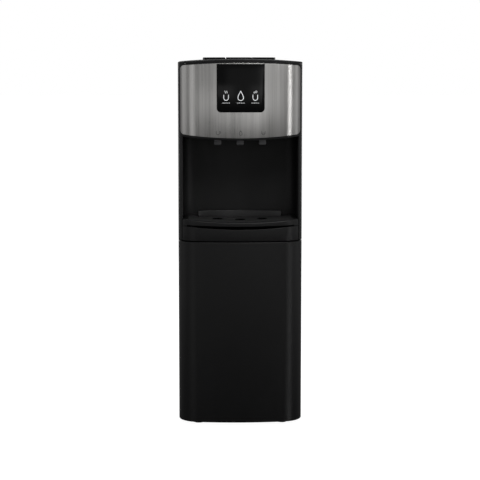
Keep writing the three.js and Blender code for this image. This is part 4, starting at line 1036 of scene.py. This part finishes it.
holes = [(tap_x[name], tap_y[name]) for name in taps]
places, faces = pierced_sheet(tray_loop(0.0120 + LEAD), holes, HOLE_R)
grille_black = moulded("satin_grille", "black_plastic", (0.0330, 0.0330, 0.0335), 0.44, 0.00004, 0.55)
show("drip_plate", [thickened(places, faces, dished(places), PLATE)], grille_black, "grille", "drip_grille")
hole_rims = []
for centre in holes:
    places, normals = circle(centre, 0.0, 48)
    around_top = dished(places + normals * HOLE_R)
    rim_profile = [(HOLE_R + 0.0016, around_top - 0.0002), (HOLE_R + 0.0012, around_top + 0.0005),
                   (HOLE_R + 0.0004, around_top + 0.0007), (HOLE_R - 0.0003, around_top + 0.0004),
                   (HOLE_R - 0.0006, around_top - 0.0006), (HOLE_R - 0.0006, around_top - PLATE),
                   (HOLE_R + 0.0016, around_top - PLATE)]
    hole_rims.append(turned(centre, rim_profile, 48))
# The hole rims take the darker black too: painted shade down the holes' walls
show("drain_hole_rims", hole_rims, shade_black_finish, "grille")

# Splash rim: a low upstand along the back of the grille, bowed towards the wall
splash_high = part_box("splash_rim")[1]
BOW = 0.286
sweep = math.asin(splash_high.x / BOW)
splash_line = circle((0.0, splash_high.y - BOW), BOW,
                     angles=np.linspace(math.pi / 2 - sweep, math.pi / 2 + sweep, 60))
splash_foot = bowl(splash_line[0][:, 0], TRAY_TOP + LEAD, DISH)
splash_profile = ([(-SHELL, splash_foot), (0, splash_foot)]
                  + round_edge(-0.0013, splash_high.z - 0.0013, 0.0013, 0)
                  + round_edge(0.0013 - SHELL, splash_high.z - 0.0013, 0.0013, 90))
smoky = glossy("smoky_acrylic", "gloss_black", (0.0110, 0.0110, 0.0115), 0.30, 0.40)
show("splash_upstand", [swept(splash_line, splash_profile)], smoky, "grille", "splash_rim")


# ----------------------------------------
# Feet: four turned rubber pads with a ribbed side, screwed up into the base pan.
black_rubber = moulded("black_rubber", "black_rubber", (0.013, 0.013, 0.013), 0.78, 0.00005, 0.25)
for name in ("front_left", "front_right", "rear_left", "rear_right"):
    low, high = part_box("foot_" + name)
    centre, radius = ((low.x + high.x) / 2, (low.y + high.y) / 2), (high.y - low.y) / 2
    profile = [(0, 0.0004), (radius * 0.55, 0.0004), (radius * 0.58, 0), (radius * 0.86, 0),
               (radius * 0.90, 0.0006)]
    profile += [(radius * (0.93 + 0.06 * math.sin(k * math.pi / 2) ** 2), 0.0012 + 0.0011 * k)
                for k in range(6)]
    profile += [(radius * 0.86, high.z - 0.0004), (radius * 0.84, high.z), (0, high.z)]
    show("rubber_" + name, [turned(centre, profile, 48)], black_rubber, "cabinet", "foot_" + name)


# ----------------------------------------
# Condenser: a flat coil of black steel tube that climbs the back in long passes, with upright wires welded to
# both of its sides as fins and four stays that hold it off the rear panel.
coil_low, coil_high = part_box("condenser")
PASSES, PITCH, TUBE_R, WIRE_R = 8, 0.054, 0.003, 0.0008
COIL_Y = 0.155
first_z = coil_low.z + 0.014
bend_x = coil_high.x - PITCH / 2 - TUBE_R
path = []
for i in range(PASSES):
    side, z = (1 if i % 2 else -1), first_z + i * PITCH
    path.append(points_at(np.linspace(-bend_x, bend_x, 12) * -side, COIL_Y, z))
    if i < PASSES - 1:
        a = np.linspace(-math.pi / 2, math.pi / 2, 14)[1:-1]
        path.append(points_at(-side * (bend_x + PITCH / 2 * np.cos(a)), COIL_Y,
                              z + PITCH / 2 + PITCH / 2 * np.sin(a)))
fins = [tube(np.concatenate(path), TUBE_R)]
for side in (-1, 1):
    for x in np.linspace(-bend_x + 0.008, bend_x - 0.008, 17):
        y = COIL_Y + side * (TUBE_R + WIRE_R * 0.6)
        fins.append(tube([[x, y, first_z - 0.012], [x, y, coil_high.z - 0.002]], WIRE_R, up=(1, 0, 0), sides=8))
for x in (-0.09, 0.09):
    for z in (first_z - 0.010, coil_high.z - 0.004):
        fins.append(block(x, 0.004, coil_low.y, coil_high.y, z, z + 0.0015, 0.0008))
show("condenser_coil", fins, black_paint, "cabinet", "condenser")


# ----------------------------------------
# Rear fixings: hoods pressed over the warm-air slots, and pan-head screws with a cross recess down both edges
# of the rear panel.
rear_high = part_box("rear_panel")[1]
HOODS, HOOD_PITCH, HOOD_FIRST, HOOD_HALF, HOOD_OUT, HOOD_TALL = 6, 0.014, 0.800, 0.062, 0.0042, 0.0058
x = np.linspace(-HOOD_HALF, HOOD_HALF, 41)[:, None]
a = np.linspace(0, math.pi / 2, 7)
out_y = rear_high.y + (HOOD_OUT * (1 - np.abs(x / HOOD_HALF) ** 5) ** 0.5 + 0.0002) * np.sin(a)
in_y = np.maximum(out_y - 0.0008, rear_high.y - 0.0006)
hoods = []
for i in range(HOODS):
    out_z = HOOD_FIRST + i * HOOD_PITCH + 0.0060 - HOOD_TALL * (1 - np.cos(a))
    outside, inside = (points_at(x, y, z) for y, z in ((out_y, out_z), (in_y, out_z - 0.0006)))
    hoods.append(surface(np.concatenate([outside, inside[:, ::-1]], 1), around=True, caps=True))
show("slot_hoods", hoods, black_paint, "cabinet")


def screw_head(x, y, z, radius=0.0036, tall=0.0020):
    """A domed head seen along Y: its height falls as the square of the radius, less a cross sunk in it."""
    turn = full_turn(48)
    reach = np.array([0.0, 0.12, 0.3, 0.5, 0.56, 0.75, 0.92, 1.0])[:, None]
    arm = np.minimum(np.abs(np.sin(turn)), np.abs(np.cos(turn))) * reach < 0.13
    face = y + tall * (1 - 0.75 * reach ** 2) - np.where(arm & (reach < 0.53), 0.0010, 0.0)
    points = points_at(x + radius * reach * np.cos(turn), face, z + radius * reach * np.sin(turn))
    base = points[-1:].copy()
    base[..., 1] = y - 0.0002
    middle_point = np.broadcast_to([x, y - 0.0002, z], base.shape)
    return surface(np.concatenate([points, base, middle_point]), around=True)


zinc = brushed("zinc_plated_screw", "black_paint", (0.52, 0.51, 0.48), 0.34)
screw_places = [(side * (HALF - 0.0075), z) for side in (-1, 1) for z in np.linspace(0.06, 0.88, 7)]
show("rear_screws", [screw_head(x, rear_high.y, z) for x, z in screw_places], zinc, "cabinet")


# ----------------------------------------
# Drain cap: a turned black cap with finger ribs, screwed over the spigot at the back.
cap_low, cap_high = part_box("drain_cap")
cap_x, cap_z = (cap_low.x + cap_high.x) / 2, (cap_low.z + cap_high.z) / 2
cap_r = (cap_high.x - cap_low.x) / 2
turn = full_turn(240)
ribs = 1 - 0.035 * (0.5 + 0.5 * np.cos(turn * 24))
cap_profile = [(0.009, cap_low.y), (cap_r * 0.97, cap_low.y), (cap_r * ribs, cap_low.y + 0.0008),
               (cap_r * ribs, cap_high.y - 0.0018), (cap_r * 0.93, cap_high.y - 0.0006),
               (cap_r * 0.88, cap_high.y), (cap_r * 0.60, cap_high.y),
               (cap_r * 0.56, cap_high.y - 0.0006), (0, cap_high.y - 0.0006),
               (0, cap_low.y + 0.0085), (0.009, cap_low.y + 0.0085)]
across_cap, up_cap, along_cap = np.moveaxis(set_out(circle((0, 0), 0.0, angles=turn), cap_profile), -1, 0)
cap_points = points_at(cap_x + across_cap, along_cap, cap_z + up_cap)
show("drain_cap_ribbed", [ring(cap_points)], gloss_black, "cap", "drain_cap")


# ----------------------------------------
# Pieces whose CAD shape is final, most of them inside the cabinet, get the finish their material slot names.
foam = moulded("moulded_foam", "foam", (0.80, 0.80, 0.76), 0.85, 0.0002, 0.2)
silicone = moulded("milky_silicone", "silicone", (0.66, 0.69, 0.69), 0.42, 0.00002, 0.4)
board = moulded("green_solder_mask", "circuit_board", (0.012, 0.105, 0.045), 0.30, 0.00002, 0.5)
red_rocker = moulded("red_rocker", "switch_red", (0.33, 0.010, 0.010), 0.28, 0.00001, 0.5)
green_rocker = moulded("green_rocker", "switch_green", (0.010, 0.16, 0.050), 0.28, 0.00001, 0.5)
natural = moulded("natural_polypropylene", "natural_plastic", (0.74, 0.75, 0.73), 0.40, 0.00002, 0.4)
copper = brushed("drawn_copper", "copper", (0.78, 0.38, 0.22), 0.30)
finishes = {made.slot: made for made in (
    black_shell, gloss_black, black_paint, brushed_steel, tap_plastic, bare_steel, foam, silicone, copper,
    black_rubber, board, red_rocker, green_rocker, natural)}
for part in frame["record"]["subparts"]:
    node = frame["nodes"][part["node"]]
    node.data.materials.clear()
    node.data.materials.append(finishes[part["material_slot"]].material)
